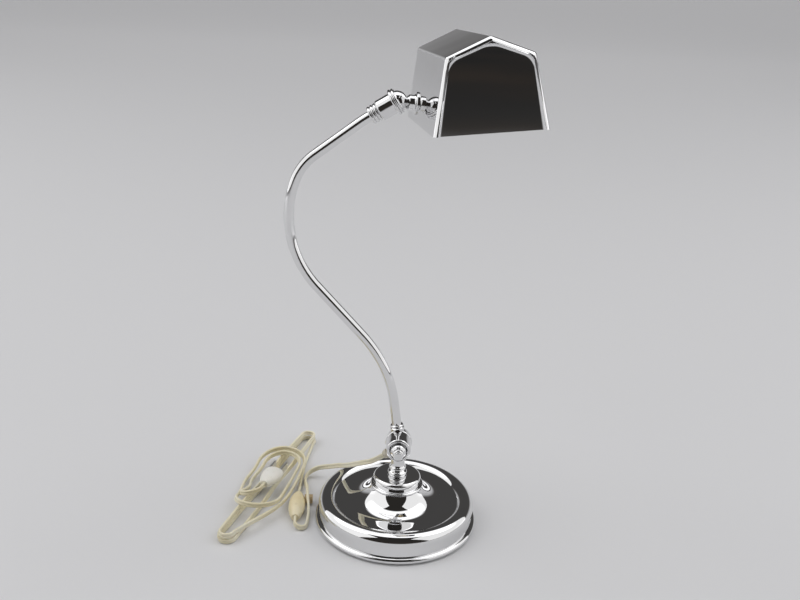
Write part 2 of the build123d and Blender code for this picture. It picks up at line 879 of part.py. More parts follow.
def long_loops(floor):
    """Stops of the long loops, stacked turn on turn and drawn in at the waist; the climb is on the right."""
    fold = long_reach - long_fold
    stops = []
    for turn in range(long_count):
        low = floor + turn * layer
        stops += [
            (hank_point(-long_reach, 0, low), hank_way(-90)),
            (hank_point(-fold, -long_fold, low), hank_way(0)),
            (hank_point(0, -long_waist, low), hank_way(0)),
            (hank_point(fold, -long_fold, low), hank_way(0)),
            (hank_point(long_reach, 0, low), hank_way(90)),
            (hank_point(fold, long_fold, low), hank_way(180)),
        ]
        if turn < long_count - 1:
            stops += [
                (hank_point(0, long_waist, low + layer / 2), hank_way(180)),
                (hank_point(-fold, long_fold, low + layer), hank_way(180)),
            ]
    return stops


def round_loops(floor):
    """Stops of the round loops that spiral in over the long ones, falling to the table at the left."""
    over = floor + long_count * layer + 0.8
    stops = []
    for half in range(half_count):
        side = 1 if half % 2 == 0 else -1
        heading = 90 + side * 90
        width = round_width - half * round_step
        low = floor + 1.05 * layer if side > 0 else floor
        came = 1.5 * (over - low) / (round_side + (width + round_step / 2) * math.pi / 2)
        goes = 1.5 * (over - low) / (round_side + (width - round_step / 2) * math.pi / 2)
        if half == 0:
            stops.append((hank_point(round_side, width, low), hank_way(heading)))
        else:
            stops.append((hank_point(side * round_side, side * width, (over + low) / 2), hank_way(heading, -came)))
        stops.append((hank_point(0, side * width, low), hank_way(heading)))
        if half < half_count - 1:
            tip = round_side + width - round_step / 2
            stops.append((hank_point(-side * round_side, side * width, (over + low) / 2), hank_way(heading, goes)))
            stops.append((hank_point(-side * tip, side * round_step / 2, over), hank_way(-side * 90)))
    return stops


def hank_path():
    """Unbroken line of the hank, from the switch round every loop to the plug lying on top."""
    floor = cord_radius + 0.1
    start_way = Vector(1, 0, 0).rotate(Axis.Z, switch_heading)
    stops = [
        (switch_face(1) + start_way * 2 * cord_radius, start_way),
        (Vector(*link_spot, floor + 0.2), Vector(1, 0, 0).rotate(Axis.Z, link_heading)),
        (hank_point(long_fold - long_reach, long_fold, floor), hank_way(180)),
    ]
    stops += long_loops(floor) + round_loops(floor)
    last = round_width - (half_count - 1) * round_step
    tail = plug_rear + 2 * cord_radius
    bend = (last + plug_side) / 2
    climb = (floor + plug_height) / 2
    stops.append((hank_point(tail, -last, climb - 1.6), hank_way(0, 0.4)))
    stops.append((hank_point(tail + bend, plug_side - bend, climb + 5.0), hank_way(90, 0.35)))
    stops.append((hank_point(tail, plug_side, plug_height), hank_way(180)))
    edges = [Line(switch_face(1), stops[0][0])]
    for (start, start_way), (end, end_way) in zip(stops, stops[1:]):
        edges += biarc(start, start_way, end, end_way)
    edges.append(Line(stops[-1][0], hank_point(plug_rear, plug_side, plug_height)))
    return edges


def report_hank(edges):
    """Print the hank's length, tightest bend and least gap to itself, measured on points."""
    spacing = 2.0
    points = []
    for edge in edges:
        count = max(2, round(edge.length / spacing))
        points += [edge @ (step / count) for step in range(count)]
    skip = round(8 * cord_radius / spacing)
    least = min(
        (first - second).length
        for place, first in enumerate(points)
        for second in points[place + skip:]
    )
    radii = [edge.radius for edge in edges if edge.geom_type == GeomType.CIRCLE]
    length = sum(edge.length for edge in edges)
    print("hank length", round(length, 1), "tightest radius", round(min(radii), 1))
    print("hank least gap to itself", round(least - 2 * cord_radius, 2))


def cord_tube(path):
    """Round tube along a path."""
    start = Plane(origin=path @ 0, z_dir=path % 0)
    tube = sweep(start * Circle(cord_radius), path=path)
    print("tube volume over section times length", round(tube.volume / (math.pi * cord_radius**2 * path.length), 4))
    return tube


def switch_blank():
    """Whole egg-shaped body of the in-line switch, flat where it lies."""
    half = switch_length / 2
    egg = switch_frame * turned(
        (0, -half), (switch_end, -half), (switch_radius, 0, switch_end, half), (0, half)
    )
    return egg - Pos(switch_spot[0], switch_spot[1], -switch_length) * Box(
        4 * switch_length, 4 * switch_length, 2 * switch_length
    ) - wheel_axis * switch_pocket()


def switch_pocket():
    """Room for the wheel and its shaft."""
    shaft = rod(wheel_shaft + slip, 1.5, wheel_start)
    return shaft + rod(wheel_radius + clear, wheel_start - face_gap, wheel_start + wheel_length)


def switch_half(upper):
    """Upper or lower moulding of the switch, parted at the height of the cord."""
    side = 1 if upper else -1
    block = Pos(switch_spot[0], switch_spot[1], switch_axis + side * switch_length) * Box(
        4 * switch_length, 4 * switch_length, 2 * switch_length
    )
    return switch_blank() & block


def switch_wheel():
    """Ribbed wheel that turns the switch, on its shaft."""
    wheel = rod(wheel_radius, wheel_start, wheel_start + wheel_length)
    cutter = Pos(wheel_radius + 0.25, 0, wheel_start + 0.8) * Cylinder(
        0.5, wheel_length, align=(Align.CENTER, Align.CENTER, Align.MIN)
    )
    for groove in range(groove_count):
        wheel -= Rot(0, 0, groove * 360 / groove_count) * cutter
    return wheel_axis * (wheel + rod(wheel_shaft, 1.5 + face_gap, wheel_start))


def plug_body():
    """Moulded plug: oval sections from the cord's end out to the face of the blades."""
    sections = [
        (0, plug_tail, plug_tail), (plug_length * 0.3, plug_width * 0.8, plug_half_height * 0.9),
        (plug_length * 0.7, plug_width, plug_half_height), (plug_length, plug_width * 0.95, plug_half_height * 0.85),
    ]
    body = loft([plug_frame * Pos(0, 0, place) * Ellipse(wide, high) for place, wide, high in sections])
    return body - plug_blades()


def plug_blades():
    """Two flat blades, each seated in the body."""
    seat = 6.0
    blade = Box(blade_thickness, blade_width, blade_length + seat)
    middle = plug_length + (blade_length - seat) / 2
    pair = [plug_frame * Pos(side * blade_spacing / 2, 0, middle) * blade for side in (-1, 1)]
    return Compound(children=pair)


# Frames that pieces are built in
pivot = Plane(origin=(0, 0, pivot_height), x_dir=(1, 0, 0), z_dir=(0, 1, 0))
arm_foot = Plane(origin=(0, arm_y, pivot_height), x_dir=(0, 1, 0), z_dir=along(90 + arm_lean))
bushing_axis = Plane(origin=(0, bushing_y, pivot_height), x_dir=(0, 1, 0), z_dir=along(bushing_angle))
_, tip_point, tip_heading = bent_path(0)
arm_tip = Plane(origin=tip_point, x_dir=(0, 1, 0), z_dir=along(tip_heading))
ball_centre = tip_point + along(tip_heading) * ball_reach
wall_lean = math.atan2((shade_mouth - shade_shoulder) / 2, shade_knee)
joint_local = Vector(-shade_mouth / 2 + joint_up * math.tan(wall_lean), joint_along, joint_up)
shade_turn = Rot(0, 0, shade_yaw) * Rot(shade_pitch, 0, 0) * Rot(0, shade_roll, 0)
wall_normal = Vector(math.cos(wall_lean), 0, -math.sin(wall_lean))
turn_only = Plane(shade_turn)
neck_way = turn_only.from_local_coords(wall_normal)
trough_way = turn_only.from_local_coords(Vector(0, 1, 0))
joint_point = ball_centre + neck_way * neck_length
shade_place = Pos(*(joint_point - turn_only.from_local_coords(joint_local))) * shade_turn
neck_axis = Plane(origin=ball_centre, x_dir=trough_way, z_dir=neck_way)
wall_frame = Plane(origin=ball_centre, x_dir=trough_way.cross(neck_way), z_dir=neck_way)
switch_frame = Plane(
    origin=(switch_spot[0], switch_spot[1], switch_axis), x_dir=(0, 0, 1),
    z_dir=(math.cos(math.radians(switch_heading)), math.sin(math.radians(switch_heading)), 0),
)
wheel_axis = Plane(
    origin=switch_frame.from_local_coords(Vector(0, 0, wheel_along)), x_dir=(0, 0, 1),
    z_dir=(math.sin(math.radians(switch_heading)), -math.cos(math.radians(switch_heading)), 0),
)
plug_frame = Plane(origin=hank_point(plug_rear, plug_side, plug_height), x_dir=hank_way(90), z_dir=hank_way(180))


def main():
    """Build every piece and write it to its own file."""
    hank = hank_path()
    report_hank(hank)
    lead = lead_path()
    print("lead length", round(lead.length, 1))
    nut_low = recess_top - washer_thickness - nut_height
    pieces = {
        "base_shell": base_shell(),
        "base_weight": base_weight(),
        "base_felt": rod(skirt_radius - shell_wall - 2 * clear, 0, felt_thickness),
        "base_stud": rod(stud_radius, nut_low - 1, cap_top + neck_socket) - rod(stud_bore, 0, cap_top + 20),
        "base_nut": hexagon(nut_across, stud_radius + slip, nut_low, nut_low + nut_height),
        "base_washer": rod(washer_radius, recess_top - washer_thickness, recess_top)
        - rod(stud_radius + slip, 0, recess_top + 1),
        "neck": neck(),
        "fixed_cup": fixed_cup(),
        "cord_bushing": cord_bushing(),
        "pivot_bolt": pivot_bolt(),
        "friction_disc": friction_disc(),
        "spring_washer": spring_washer(),
        "thumb_knob": thumb_knob(),
        "arm_cup": arm_cup(),
        "arm_collar": arm_collar(),
        "arm_tube": arm_tube(),
        "arm_wire": arm_wire(),
        "upper_collar": upper_collar(),
        "swivel_barrel": swivel_barrel(),
        "swivel_cap": swivel_cap(),
        "ball_neck": ball_neck(),
        "shade_nipple": shade_nipple(),
        "lock_nut": lock_nut(),
        "shade_shell": shade_shell(),
        "shade_front_end": shade_front_end(),
        "shade_rear_end": shade_rear_end(),
        "holder_bracket": holder_bracket(),
        "holder_screw": holder_screw(),
        "holder_cap": holder_cap(),
        "holder_insulator": holder_insulator(),
        "holder_shell": holder_shell(),
        "lamp_cap": lamp_cap(),
        "lamp_glass": lamp_glass(),
        "cord_lead": cord_tube(lead),
        "cord_hank": cord_tube(Wire(hank)),
        "switch_top": switch_half(True),
        "switch_bottom": switch_half(False),
        "switch_wheel": switch_wheel(),
        "plug_body": plug_body(),
        "plug_blades": plug_blades(),
    }
    os.makedirs("parts", exist_ok=True)
    for name, piece in pieces.items():
        export_step(piece, f"parts/{name}.step")
    tilt_way = along(tip_heading).cross(neck_way).normalized()
    print("ball centre", ball_centre, "arm end", tip_point, "heading", round(tip_heading, 2))
    print("neck way", neck_way, "tilt axis", tilt_way, "bend", round(along(tip_heading).get_angle(neck_way), 2))
    print("wheel", wheel_axis.origin, wheel_axis.z_dir)


main()
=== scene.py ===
# %% [markdown]
# # A chromed desk lamp
# The CAD model gives every piece its size and place. This lesson dresses it: the polished pieces are turned
# again with finer faces, because a mirror shows every facet, the cord becomes a real flat twin cord, and each
# finish gets the small faults that make plating, vinyl and old plastic look true.

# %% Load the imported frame
import math

import bpy
from mathutils import Matrix, Vector


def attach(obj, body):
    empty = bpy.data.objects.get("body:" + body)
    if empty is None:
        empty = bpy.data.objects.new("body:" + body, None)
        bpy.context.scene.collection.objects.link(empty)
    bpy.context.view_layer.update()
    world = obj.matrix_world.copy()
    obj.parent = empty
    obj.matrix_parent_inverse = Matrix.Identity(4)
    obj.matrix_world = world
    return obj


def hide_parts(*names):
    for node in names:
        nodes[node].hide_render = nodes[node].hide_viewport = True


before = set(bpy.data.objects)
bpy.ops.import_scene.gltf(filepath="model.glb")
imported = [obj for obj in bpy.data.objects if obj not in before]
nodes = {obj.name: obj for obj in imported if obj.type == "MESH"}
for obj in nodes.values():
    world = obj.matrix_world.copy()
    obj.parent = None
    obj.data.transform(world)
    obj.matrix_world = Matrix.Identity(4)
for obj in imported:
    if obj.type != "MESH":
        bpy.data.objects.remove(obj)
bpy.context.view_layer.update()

MM = 0.001

# %% [markdown]
# ## The camera
# The base is a stack of circles, so its ellipses tell where the camera stood: three quarters of a metre in
# front, half a metre up, looking down by 20 degrees and tilted a little. The lens is 900 pixels long on an
# image 800 wide, which is 40.5 mm on a 36 mm sensor.

# %% Place the camera
SENSOR_WIDTH = 36.0
LENS_PIXELS = 900.0
IMAGE_PIXELS = 800.0
CAMERA_SPOT = Vector((-0.00512, -0.75974, 0.50015))
PITCH = math.radians(19.781)
ROLL = math.radians(2.684)
ahead = Vector((0, math.cos(PITCH), -math.sin(PITCH)))
level = Vector((1, 0, 0))
upright = level.cross(ahead)
right = level * math.cos(ROLL) + upright * math.sin(ROLL)
above = upright * math.cos(ROLL) - level * math.sin(ROLL)

camera_data = bpy.data.cameras.new("camera")
camera_data.sensor_width = SENSOR_WIDTH
camera_data.lens = LENS_PIXELS / IMAGE_PIXELS * SENSOR_WIDTH
camera_data.clip_start = 0.01
camera_data.clip_end = 100.0
camera = bpy.data.objects.new("camera", camera_data)
bpy.context.scene.collection.objects.link(camera)
camera.matrix_world = Matrix((
    (right.x, above.x, -ahead.x, CAMERA_SPOT.x),
    (right.y, above.y, -ahead.y, CAMERA_SPOT.y),
    (right.z, above.z, -ahead.z, CAMERA_SPOT.z),
    (0, 0, 0, 1),
))
bpy.context.scene.camera = camera
print("camera lens", round(camera_data.lens, 2))

# %% [markdown]
# ## Writing shaders as sums
# A finish is mostly arithmetic on patterns. `Flow` wraps one socket, so that `0.3 + grime * 0.2` adds the
# Math nodes by itself, and `Finish` starts a material and adds every other kind of node through one method.

# %% Shader helpers
class Flow:
    """One value in a material; arithmetic on it adds Math nodes."""

    def __init__(self, finish, socket):
        self.finish = finish
        self.socket = socket

    def math(self, operation, first, second):
        return self.finish.node("ShaderNodeMath", {"operation": operation}, {0: first, 1: second})

    def __add__(self, other):
        return self.math("ADD", self, other)

    def __radd__(self, other):
        return self.math("ADD", other, self)

    def __sub__(self, other):
        return self.math("SUBTRACT", self, other)

    def __mul__(self, other):
        return self.math("MULTIPLY", self, other)


class Finish:
    """The nodes of a material, or of the world, with short ways to add patterns."""

    def __init__(self, name, owner=None, shader="Principled BSDF"):
        self.owner = owner or bpy.data.materials.new(name)
        self.owner.use_nodes = True
        self.tree = self.owner.node_tree
        self.shader = self.tree.nodes[shader]

    def node(self, kind, settings=None, sockets=None, output=0):
        made = self.tree.nodes.new(kind)
        for key, value in (settings or {}).items():
            setattr(made, key, value)
        for key, value in (sockets or {}).items():
            if isinstance(value, Flow):
                self.tree.links.new(value.socket, made.inputs[key])
            else:
                made.inputs[key].default_value = value
        return Flow(self, made.outputs[output])

    def place(self, scale=(1, 1, 1), turn=(0, 0, 0)):
        where = self.node("ShaderNodeTexCoord", output="Object")
        return self.node("ShaderNodeMapping", {}, {"Vector": where, "Scale": scale, "Rotation": turn})

    def noise(self, size, detail=3.0, rough=0.55, stretch=(1, 1, 1), turn=(0, 0, 0)):
        where = self.place(stretch, turn)
        return self.node(
            "ShaderNodeTexNoise", {},
            {"Vector": where, "Scale": 1.0 / size, "Detail": detail, "Roughness": rough},
        )

    def between(self, value, low, high, to_low=0.0, to_high=1.0):
        return self.node(
            "ShaderNodeMapRange", {"interpolation_type": "SMOOTHSTEP"},
            {"Value": value, "From Min": low, "From Max": high, "To Min": to_low, "To Max": to_high},
        )

    def mix(self, factor, first, second):
        """Blend of two colours; the Mix node keeps its colours in sockets 6 and 7 and gives them in 2."""
        first, second = (value if isinstance(value, Flow) else (*value, 1.0) for value in (first, second))
        return self.node("ShaderNodeMix", {"data_type": "RGBA"}, {0: factor, 6: first, 7: second}, output=2)

    def bump(self, height):
        """A normal from a height in metres."""
        return self.node("ShaderNodeBump", {}, {"Height": height, "Distance": 1.0, "Strength": 1.0})

    def set(self, **sockets):
        for key, value in sockets.items():
            target = self.shader.inputs[key.replace("_", " ")]
            if isinstance(value, Flow):
                self.tree.links.new(value.socket, target)
            elif key.endswith("Color"):
                target.default_value = (*value, 1.0)
            else:
                target.default_value = value
        return self.owner


print("shader helpers ready")

# %% [markdown]
# ## Chrome plating
# Old chrome is a mirror with a faintly warm grey cast. What shows that it is real is not its colour but its
# faults: dull finger smudges and fine wiping marks. They stay very weak, because the reflections have to read
# first. Sheet that was folded by hand also has a slow ripple, which bends what it mirrors.

# %% Chrome
def chrome(name, tint=(0.80, 0.80, 0.805), ripple=0.0, ripple_size=0.05, haze=0.035):
    finish = Finish(name)
    smudge = finish.between(finish.noise(0.035, 4.0, 0.6), 0.50, 0.75)
    wipe = finish.noise(0.003, 2.0, 0.6, stretch=(1.0, 0.08, 0.35), turn=(0.3, 0.5, 0.2))
    dull = 0.018 + smudge * haze + finish.between(wipe, 0.60, 0.75) * 0.012
    plate = finish.mix(smudge * 0.5, tint, tuple(0.94 * value for value in tint))
    height = finish.noise(ripple_size, 1.0, 0.4) * ripple + wipe * 0.0000004
    return finish.set(
        Base_Color=plate, Metallic=1.0, Roughness=dull, Normal=finish.bump(height)
    )


chrome_turned = chrome("chrome_turned")
chrome_tube = chrome("chrome_tube", haze=0.03)
chrome_sheet = chrome("chrome_sheet", ripple=0.00010, ripple_size=0.05)
chrome_fitting = chrome("chrome_fitting", tint=(0.77, 0.77, 0.775), haze=0.05)
print("chrome finishes made")

# %% [markdown]
# ## Cord, old plastic and the hidden metals
# The cord is cream vinyl that has yellowed unevenly and picked up dirt in its groove. The switch and plug are
# moulded in ivory that has gone the same way. Inside the lamp there is plain brass, zinc-plated steel, cast
# iron, fibre and felt, each with the grain of its making.

# %% Soft and moulded finishes
def aged_vinyl(name, fresh, yellowed, grime, rough, pebble):
    finish = Finish(name)
    age = finish.between(finish.noise(0.05, 3.0), 0.35, 0.70)
    dirt = finish.between(finish.noise(0.007, 5.0, 0.7), 0.56, 0.80)
    colour = finish.mix(age, fresh, yellowed)
    colour = finish.mix(dirt * 0.55, colour, grime)
    skin = finish.noise(pebble, 2.0) * 0.00008
    return finish.set(
        Base_Color=colour, Roughness=rough + dirt * 0.2, Normal=finish.bump(skin),
        Subsurface_Weight=0.06, Subsurface_Radius=(0.004, 0.003, 0.002), Subsurface_Scale=0.5,
    )


vinyl_cord = aged_vinyl(
    "vinyl_cord", (0.84, 0.80, 0.64), (0.78, 0.71, 0.49), (0.44, 0.37, 0.23), rough=0.42, pebble=0.0012
)
ivory_mould = aged_vinyl(
    "ivory_mould", (0.88, 0.80, 0.58), (0.81, 0.69, 0.42), (0.47, 0.37, 0.20), rough=0.28, pebble=0.0009
)
white_mould = aged_vinyl(
    "white_mould", (0.90, 0.89, 0.84), (0.86, 0.83, 0.74), (0.55, 0.50, 0.40), rough=0.30, pebble=0.0009
)
tan_mould = aged_vinyl(
    "tan_mould", (0.62, 0.49, 0.30), (0.54, 0.40, 0.22), (0.30, 0.21, 0.11), rough=0.36, pebble=0.0009
)
old_rubber = aged_vinyl(
    "old_rubber", (0.62, 0.58, 0.48), (0.52, 0.47, 0.36), (0.28, 0.24, 0.17), rough=0.60, pebble=0.0010
)


def felt_cloth():
    finish = Finish("felt_cloth")
    fluff = finish.noise(0.0012, 5.0, 0.75)
    worn = finish.between(finish.noise(0.03, 3.0), 0.40, 0.72)
    colour = finish.mix(worn, (0.035, 0.10, 0.055), (0.07, 0.14, 0.08))
    colour = finish.mix(fluff * 0.4, colour, (0.14, 0.20, 0.13))
    nap = finish.bump(fluff * 0.0005)
    return finish.set(Base_Color=colour, Roughness=0.95, Normal=nap, Sheen_Weight=0.3)


felt = felt_cloth()
print("vinyl, ivory, rubber and felt made")

# %% Hidden metals and insulators
def worked_metal(name, colour, dark, rough, grain, stretch=(1, 1, 1), metallic=1.0, depth=0.00004):
    finish = Finish(name)
    tarnish = finish.between(finish.noise(0.012, 4.0, 0.65), 0.42, 0.75)
    marks = finish.noise(grain, 3.0, 0.6, stretch=stretch)
    return finish.set(
        Base_Color=finish.mix(tarnish * 0.7, colour, dark), Metallic=metallic,
        Roughness=rough + tarnish * 0.18 + marks * 0.08, Normal=finish.bump(marks * depth),
    )


brass = worked_metal("brass", (0.80, 0.62, 0.30), (0.45, 0.31, 0.13), 0.22, 0.0020, (1, 1, 0.15))
zinc_steel = worked_metal("zinc_steel", (0.62, 0.62, 0.63), (0.36, 0.35, 0.34), 0.30, 0.0015, (1, 0.2, 1))
cast_iron = worked_metal("cast_iron", (0.10, 0.10, 0.10), (0.13, 0.07, 0.04), 0.65, 0.0030, depth=0.0004)
lamp_cap_metal = worked_metal(
    "lamp_cap_metal", (0.78, 0.78, 0.79), (0.50, 0.49, 0.47), 0.28, 0.0012, (1, 0.2, 1)
)
fibre = worked_metal("fibre", (0.33, 0.10, 0.07), (0.20, 0.06, 0.05), 0.60, 0.0010, metallic=0.0)
phenolic = worked_metal("phenolic", (0.05, 0.035, 0.03), (0.10, 0.07, 0.05), 0.35, 0.0012, metallic=0.0)
wire_sleeve = worked_metal("wire_sleeve", (0.30, 0.28, 0.24), (0.18, 0.16, 0.13), 0.55, 0.0012, metallic=0.0)


def frosted_glass():
    finish = Finish("frosted_glass")
    frost = finish.noise(0.0006, 2.0)
    dust = finish.between(finish.noise(0.02, 3.0), 0.45, 0.75)
    colour = finish.mix(dust * 0.5, (0.95, 0.94, 0.90), (0.86, 0.83, 0.76))
    return finish.set(
        Base_Color=colour, Roughness=0.34 + frost * 0.12, Normal=finish.bump(frost * 0.00003),
        Transmission_Weight=0.35, IOR=1.46,
    )


opal = frosted_glass()
print("metals, insulators and lamp glass made")

# %% [markdown]
# ## Finishing the CAD pieces
# Every CAD piece gets its finish here. The hidden and the moulded ones keep their CAD mesh; the polished ones
# and the cord are made again further down, and those pieces then take the place of their CAD nodes.

# %% Finish the CAD nodes
def coat(piece, material):
    piece.data.materials.clear()
    piece.data.materials.append(material)


node_finishes = {
    "base_weight": cast_iron, "base_felt": felt, "base_stud": zinc_steel, "base_nut": zinc_steel,
    "base_washer": zinc_steel, "pivot_bolt": zinc_steel, "friction_disc": fibre, "spring_washer": zinc_steel,
    "cord_bushing": old_rubber, "arm_wire": wire_sleeve, "shade_nipple": brass, "lock_nut": zinc_steel,
    "holder_bracket": zinc_steel, "holder_screw": zinc_steel, "holder_cap": brass, "holder_shell": brass,
    "holder_insulator": phenolic, "lamp_cap": lamp_cap_metal, "plug_blades": lamp_cap_metal,
    "lamp_glass": opal,
    "switch_top": ivory_mould, "switch_bottom": ivory_mould, "switch_wheel": tan_mould,
    "plug_body": white_mould, "base_shell": chrome_turned, "neck": chrome_turned,
    "fixed_cup": chrome_fitting, "thumb_knob": chrome_fitting, "arm_cup": chrome_fitting,
    "arm_collar": chrome_fitting, "arm_tube": chrome_tube, "upper_collar": chrome_fitting,
    "swivel_barrel": chrome_fitting, "swivel_cap": chrome_fitting, "ball_neck": chrome_fitting,
    "shade_shell": chrome_sheet, "shade_front_end": chrome_sheet, "shade_rear_end": chrome_sheet,
    "cord_lead": vinyl_cord, "cord_hank": vinyl_cord,
}
for node_name, material in node_finishes.items():
    coat(nodes[node_name], material)
print("finished", len(node_finishes), "CAD nodes of", len(nodes))

# %% [markdown]
# ## The cord
# Lamp cord is two insulated wires side by side in one flat skin, 5.2 by 2.6 mm. Wound up, it bends across its
# thin side, so in the hank it stands on edge. The route is one smooth NURBS line for each free stretch: the
# lead from the knuckle to the switch, and the hank from the switch to the plug. The hank's turns are worked
# out by loops: long ones folded at both ends, then rounder ones thrown around them.

# %% The cord's route
LEAD = [
    (-13.6, -4.0, 71.0), (-23.4, -4.0, 64.1), (-33.4, 5.5, 56.3), (-42.6, 20.5, 45.4), (-51.8, 36.0, 34.4),
    (-60.5, 48.6, 26.8), (-68.6, 58.4, 19.4), (-76.0, 66.8, 13.6), (-83.0, 70.2, 10.2), (-89.6, 69.2, 6.8),
    (-94.0, 64.6, 4.4), (-95.0, 56.6, 3.4), (-93.2, 46.0, 5.0), (-91.2, 36.8, 8.6), (-89.7, 28.0, 12.4),
    (-88.6, 19.0, 14.2), (-87.2, 10.5, 11.8), (-85.4, 2.5, 7.4), (-84.4, -6.0, 4.0), (-84.3, -15.5, 2.9),
    (-84.4, -25.9, 2.8), (-87.8, -29.3, 2.9), (-92.6, -29.3, 4.0), (-95.96, -25.9, 5.6), (-96.27, -17.0, 5.6),
]
LINK = [
    (-97.73, 25.0, 5.6), (-97.95, 31.5, 5.6), (-98.3, 36.5, 3.9), (-98.8, 42.0, 2.9), (-99.1, 56.5, 2.9),
    (-99.1, 72.5, 2.9), (-98.9, 88.5, 2.8), (-97.6, 106.0, 2.7), (-96.0, 123.0, 2.7),
]
HANK_CENTRE = Vector((-128.5, 46.0))
HANK_AXIS = 254.1
FLOOR_LINE = 2.7
LAYER = 5.95
FOLD_TURN = 36.0
LONG_REACH = 106.0
LONG_TIPS = (7.6, 6.8)
LONG_STEP = 36.0
LONG_WAIST = 6.0
LONG_SWELL = 2.2
SWELL_LENGTH = 95.0
ROUND_WIDTH = 26.5
ROUND_NARROWS = 3.0
ROUND_BULGE = 5.5
ROUND_SHIFT = 1.5
ROUND_STRAIGHT = 32.0
ROUND_TURNS = (7.5, 7.5, 4.0, 5.0)
ROUND_REACHES = (29.0, 38.0, 26.0)
STEP_OVER = FLOOR_LINE + 1.05 * LAYER
CROSS_OVER = FLOOR_LINE + 2 * LAYER + 0.8


def hank_spot(reach, side, height, turn=0.0):
    """Spot in millimetres: reach towards the viewer, side to the right, turned from the long axis."""
    way = math.radians(HANK_AXIS + turn)
    along = Vector((math.cos(way), math.sin(way)))
    across = Vector((-math.sin(way), math.cos(way)))
    spot = HANK_CENTRE + along * reach + across * side
    return (spot.x, spot.y, height)


def ease(share):
    """Slow start and slow end between 0 and 1."""
    share = min(max(share, 0.0), 1.0)
    return share * share * (3 - 2 * share)


def fold(reach, side, radius, end, heights, turn=0.0):
    """Seven control points round a loop's end, straight at the first and last; end is +1 near, -1 far."""
    half_turn = math.radians(FOLD_TURN / 2)
    out = radius / math.cos(half_turn) * end
    spacing = 2 * radius * math.tan(half_turn) * end
    points = []
    for step, height in zip(range(-3, 4), heights):
        angle = math.radians(FOLD_TURN * min(max(step, -2), 2))
        along = out * math.cos(angle) - spacing * (abs(step) == 3)
        points.append(hank_spot(reach + along, side + out * math.sin(angle), height, turn))
    return points


def long_side(side, low, high):
    """Five control points along a long loop's side, drawn in at the waist and at the ends."""
    points = []
    for step in (-2, -1, 0, 1, 2):
        reach = -side * step * LONG_STEP
        width = LONG_WAIST + LONG_SWELL * math.sin(math.pi * abs(reach) / SWELL_LENGTH)
        points.append(hank_spot(reach, side * width, low + (high - low) * ease((step + 2.4) / 4.8)))
    return points


def round_heights(low, next_low, radius, width):
    """Heights of a round loop's end, which rises over the long loops and comes down again."""
    stretch = ROUND_STRAIGHT + width * math.pi / 2
    heights = []
    for step in range(-3, 4):
        foot = low if step < 0 else next_low
        share = 1 - radius * math.radians(FOLD_TURN * abs(step)) / stretch
        heights.append(foot + (CROSS_OVER - foot) * ease(share))
    return heights


hank = list(LINK)
for turn, tip in enumerate(LONG_TIPS):
    low = FLOOR_LINE + turn * LAYER
    hank += fold(tip - LONG_REACH, 0.0, tip, -1, [low] * 7)
    hank += long_side(-1, low, low)
    hank += fold(LONG_REACH - tip, 0.0, tip, 1, [low] * 7)
    if turn == 0:
        hank += long_side(1, low, low + LAYER)
hank += [
    hank_spot(78.0, 12.0, FLOOR_LINE + LAYER, 2.0), hank_spot(56.0, 21.0, STEP_OVER, 4.0),
    hank_spot(34.0, 26.0, STEP_OVER, 7.0),
]
for half, turn in enumerate(ROUND_TURNS):
    side = 1 if half % 2 == 0 else -1
    width = ROUND_WIDTH - ROUND_NARROWS * half
    low, next_low = (STEP_OVER, FLOOR_LINE) if side > 0 else (FLOOR_LINE, STEP_OVER)
    bulge = 0.0 if side > 0 else ROUND_BULGE
    hank.append(hank_spot(0.0, side * (width + bulge), low, turn))
    if half < len(ROUND_REACHES):
        radius = width - ROUND_SHIFT
        heights = round_heights(low, next_low, radius, width)
        hank += fold(-side * ROUND_REACHES[half], side * ROUND_SHIFT, radius, -side, heights, turn)
hank.append(hank_spot(13.0, -17.5, 4.0, 3.0))
hank += fold(31.2, -6.75, 10.75, 1, [7.4, 9.6, 12.6, 15.4, 17.2, 18.1, 18.2])
hank.append(hank_spot(26.0, 4.0, 18.2))
print("lead points", len(LEAD), "hank points", len(hank))


# %% Draw the cord
CORD_WIDTH = 5.2
LOBE_POINTS = 11
LOBE_STEP = 29.0


def route_curve(name, points):
    """A NURBS line through the control points, in metres."""
    data = bpy.data.curves.new(name, "CURVE")
    data.dimensions = "3D"
    data.twist_mode = "Z_UP"
    data.resolution_u = 6
    line = data.splines.new("NURBS")
    line.points.add(len(points) - 1)
    for point, spot in zip(line.points, points):
        point.co = (*(value * MM for value in spot), 1.0)
    line.order_u = 3
    line.use_endpoint_u = True
    curve = bpy.data.objects.new(name, data)
    bpy.context.scene.collection.objects.link(curve)
    return curve


def line_points(curve):
    """Points along a curve that has no bevel yet."""
    bpy.context.view_layer.update()
    mesh = bpy.data.meshes.new_from_object(curve.evaluated_get(bpy.context.evaluated_depsgraph_get()))
    points = [tuple(vertex.co) for vertex in mesh.vertices]
    bpy.data.meshes.remove(mesh)
    return points


def twin_section(width):
    """Outline of a flat twin cord: two round lobes of 290 degrees that share a web."""
    lobe = width / 4
    outline = []
    for middle, start in ((lobe, -55.0), (-lobe, 125.0)):
        for step in range(LOBE_POINTS):
            angle = math.radians(start + LOBE_STEP * step)
            outline.append((lobe * math.cos(angle), middle + lobe * math.sin(angle)))
    data = bpy.data.curves.new("twin_section", "CURVE")
    data.dimensions = "2D"
    line = data.splines.new("POLY")
    line.points.add(len(outline) - 1)
    clockwise = reversed(outline)  # so that the cord's faces look outward
    for point, (across, up) in zip(line.points, clockwise):
        point.co = (across, up, 0, 1)
    line.use_cyclic_u = True
    section = bpy.data.objects.new("twin_section", data)
    bpy.context.scene.collection.objects.link(section)
    return section


def deselect():
    if bpy.context.object is not None and bpy.context.object.mode != "OBJECT":
        bpy.ops.object.mode_set(mode="OBJECT")
    bpy.ops.object.select_all(action="DESELECT")


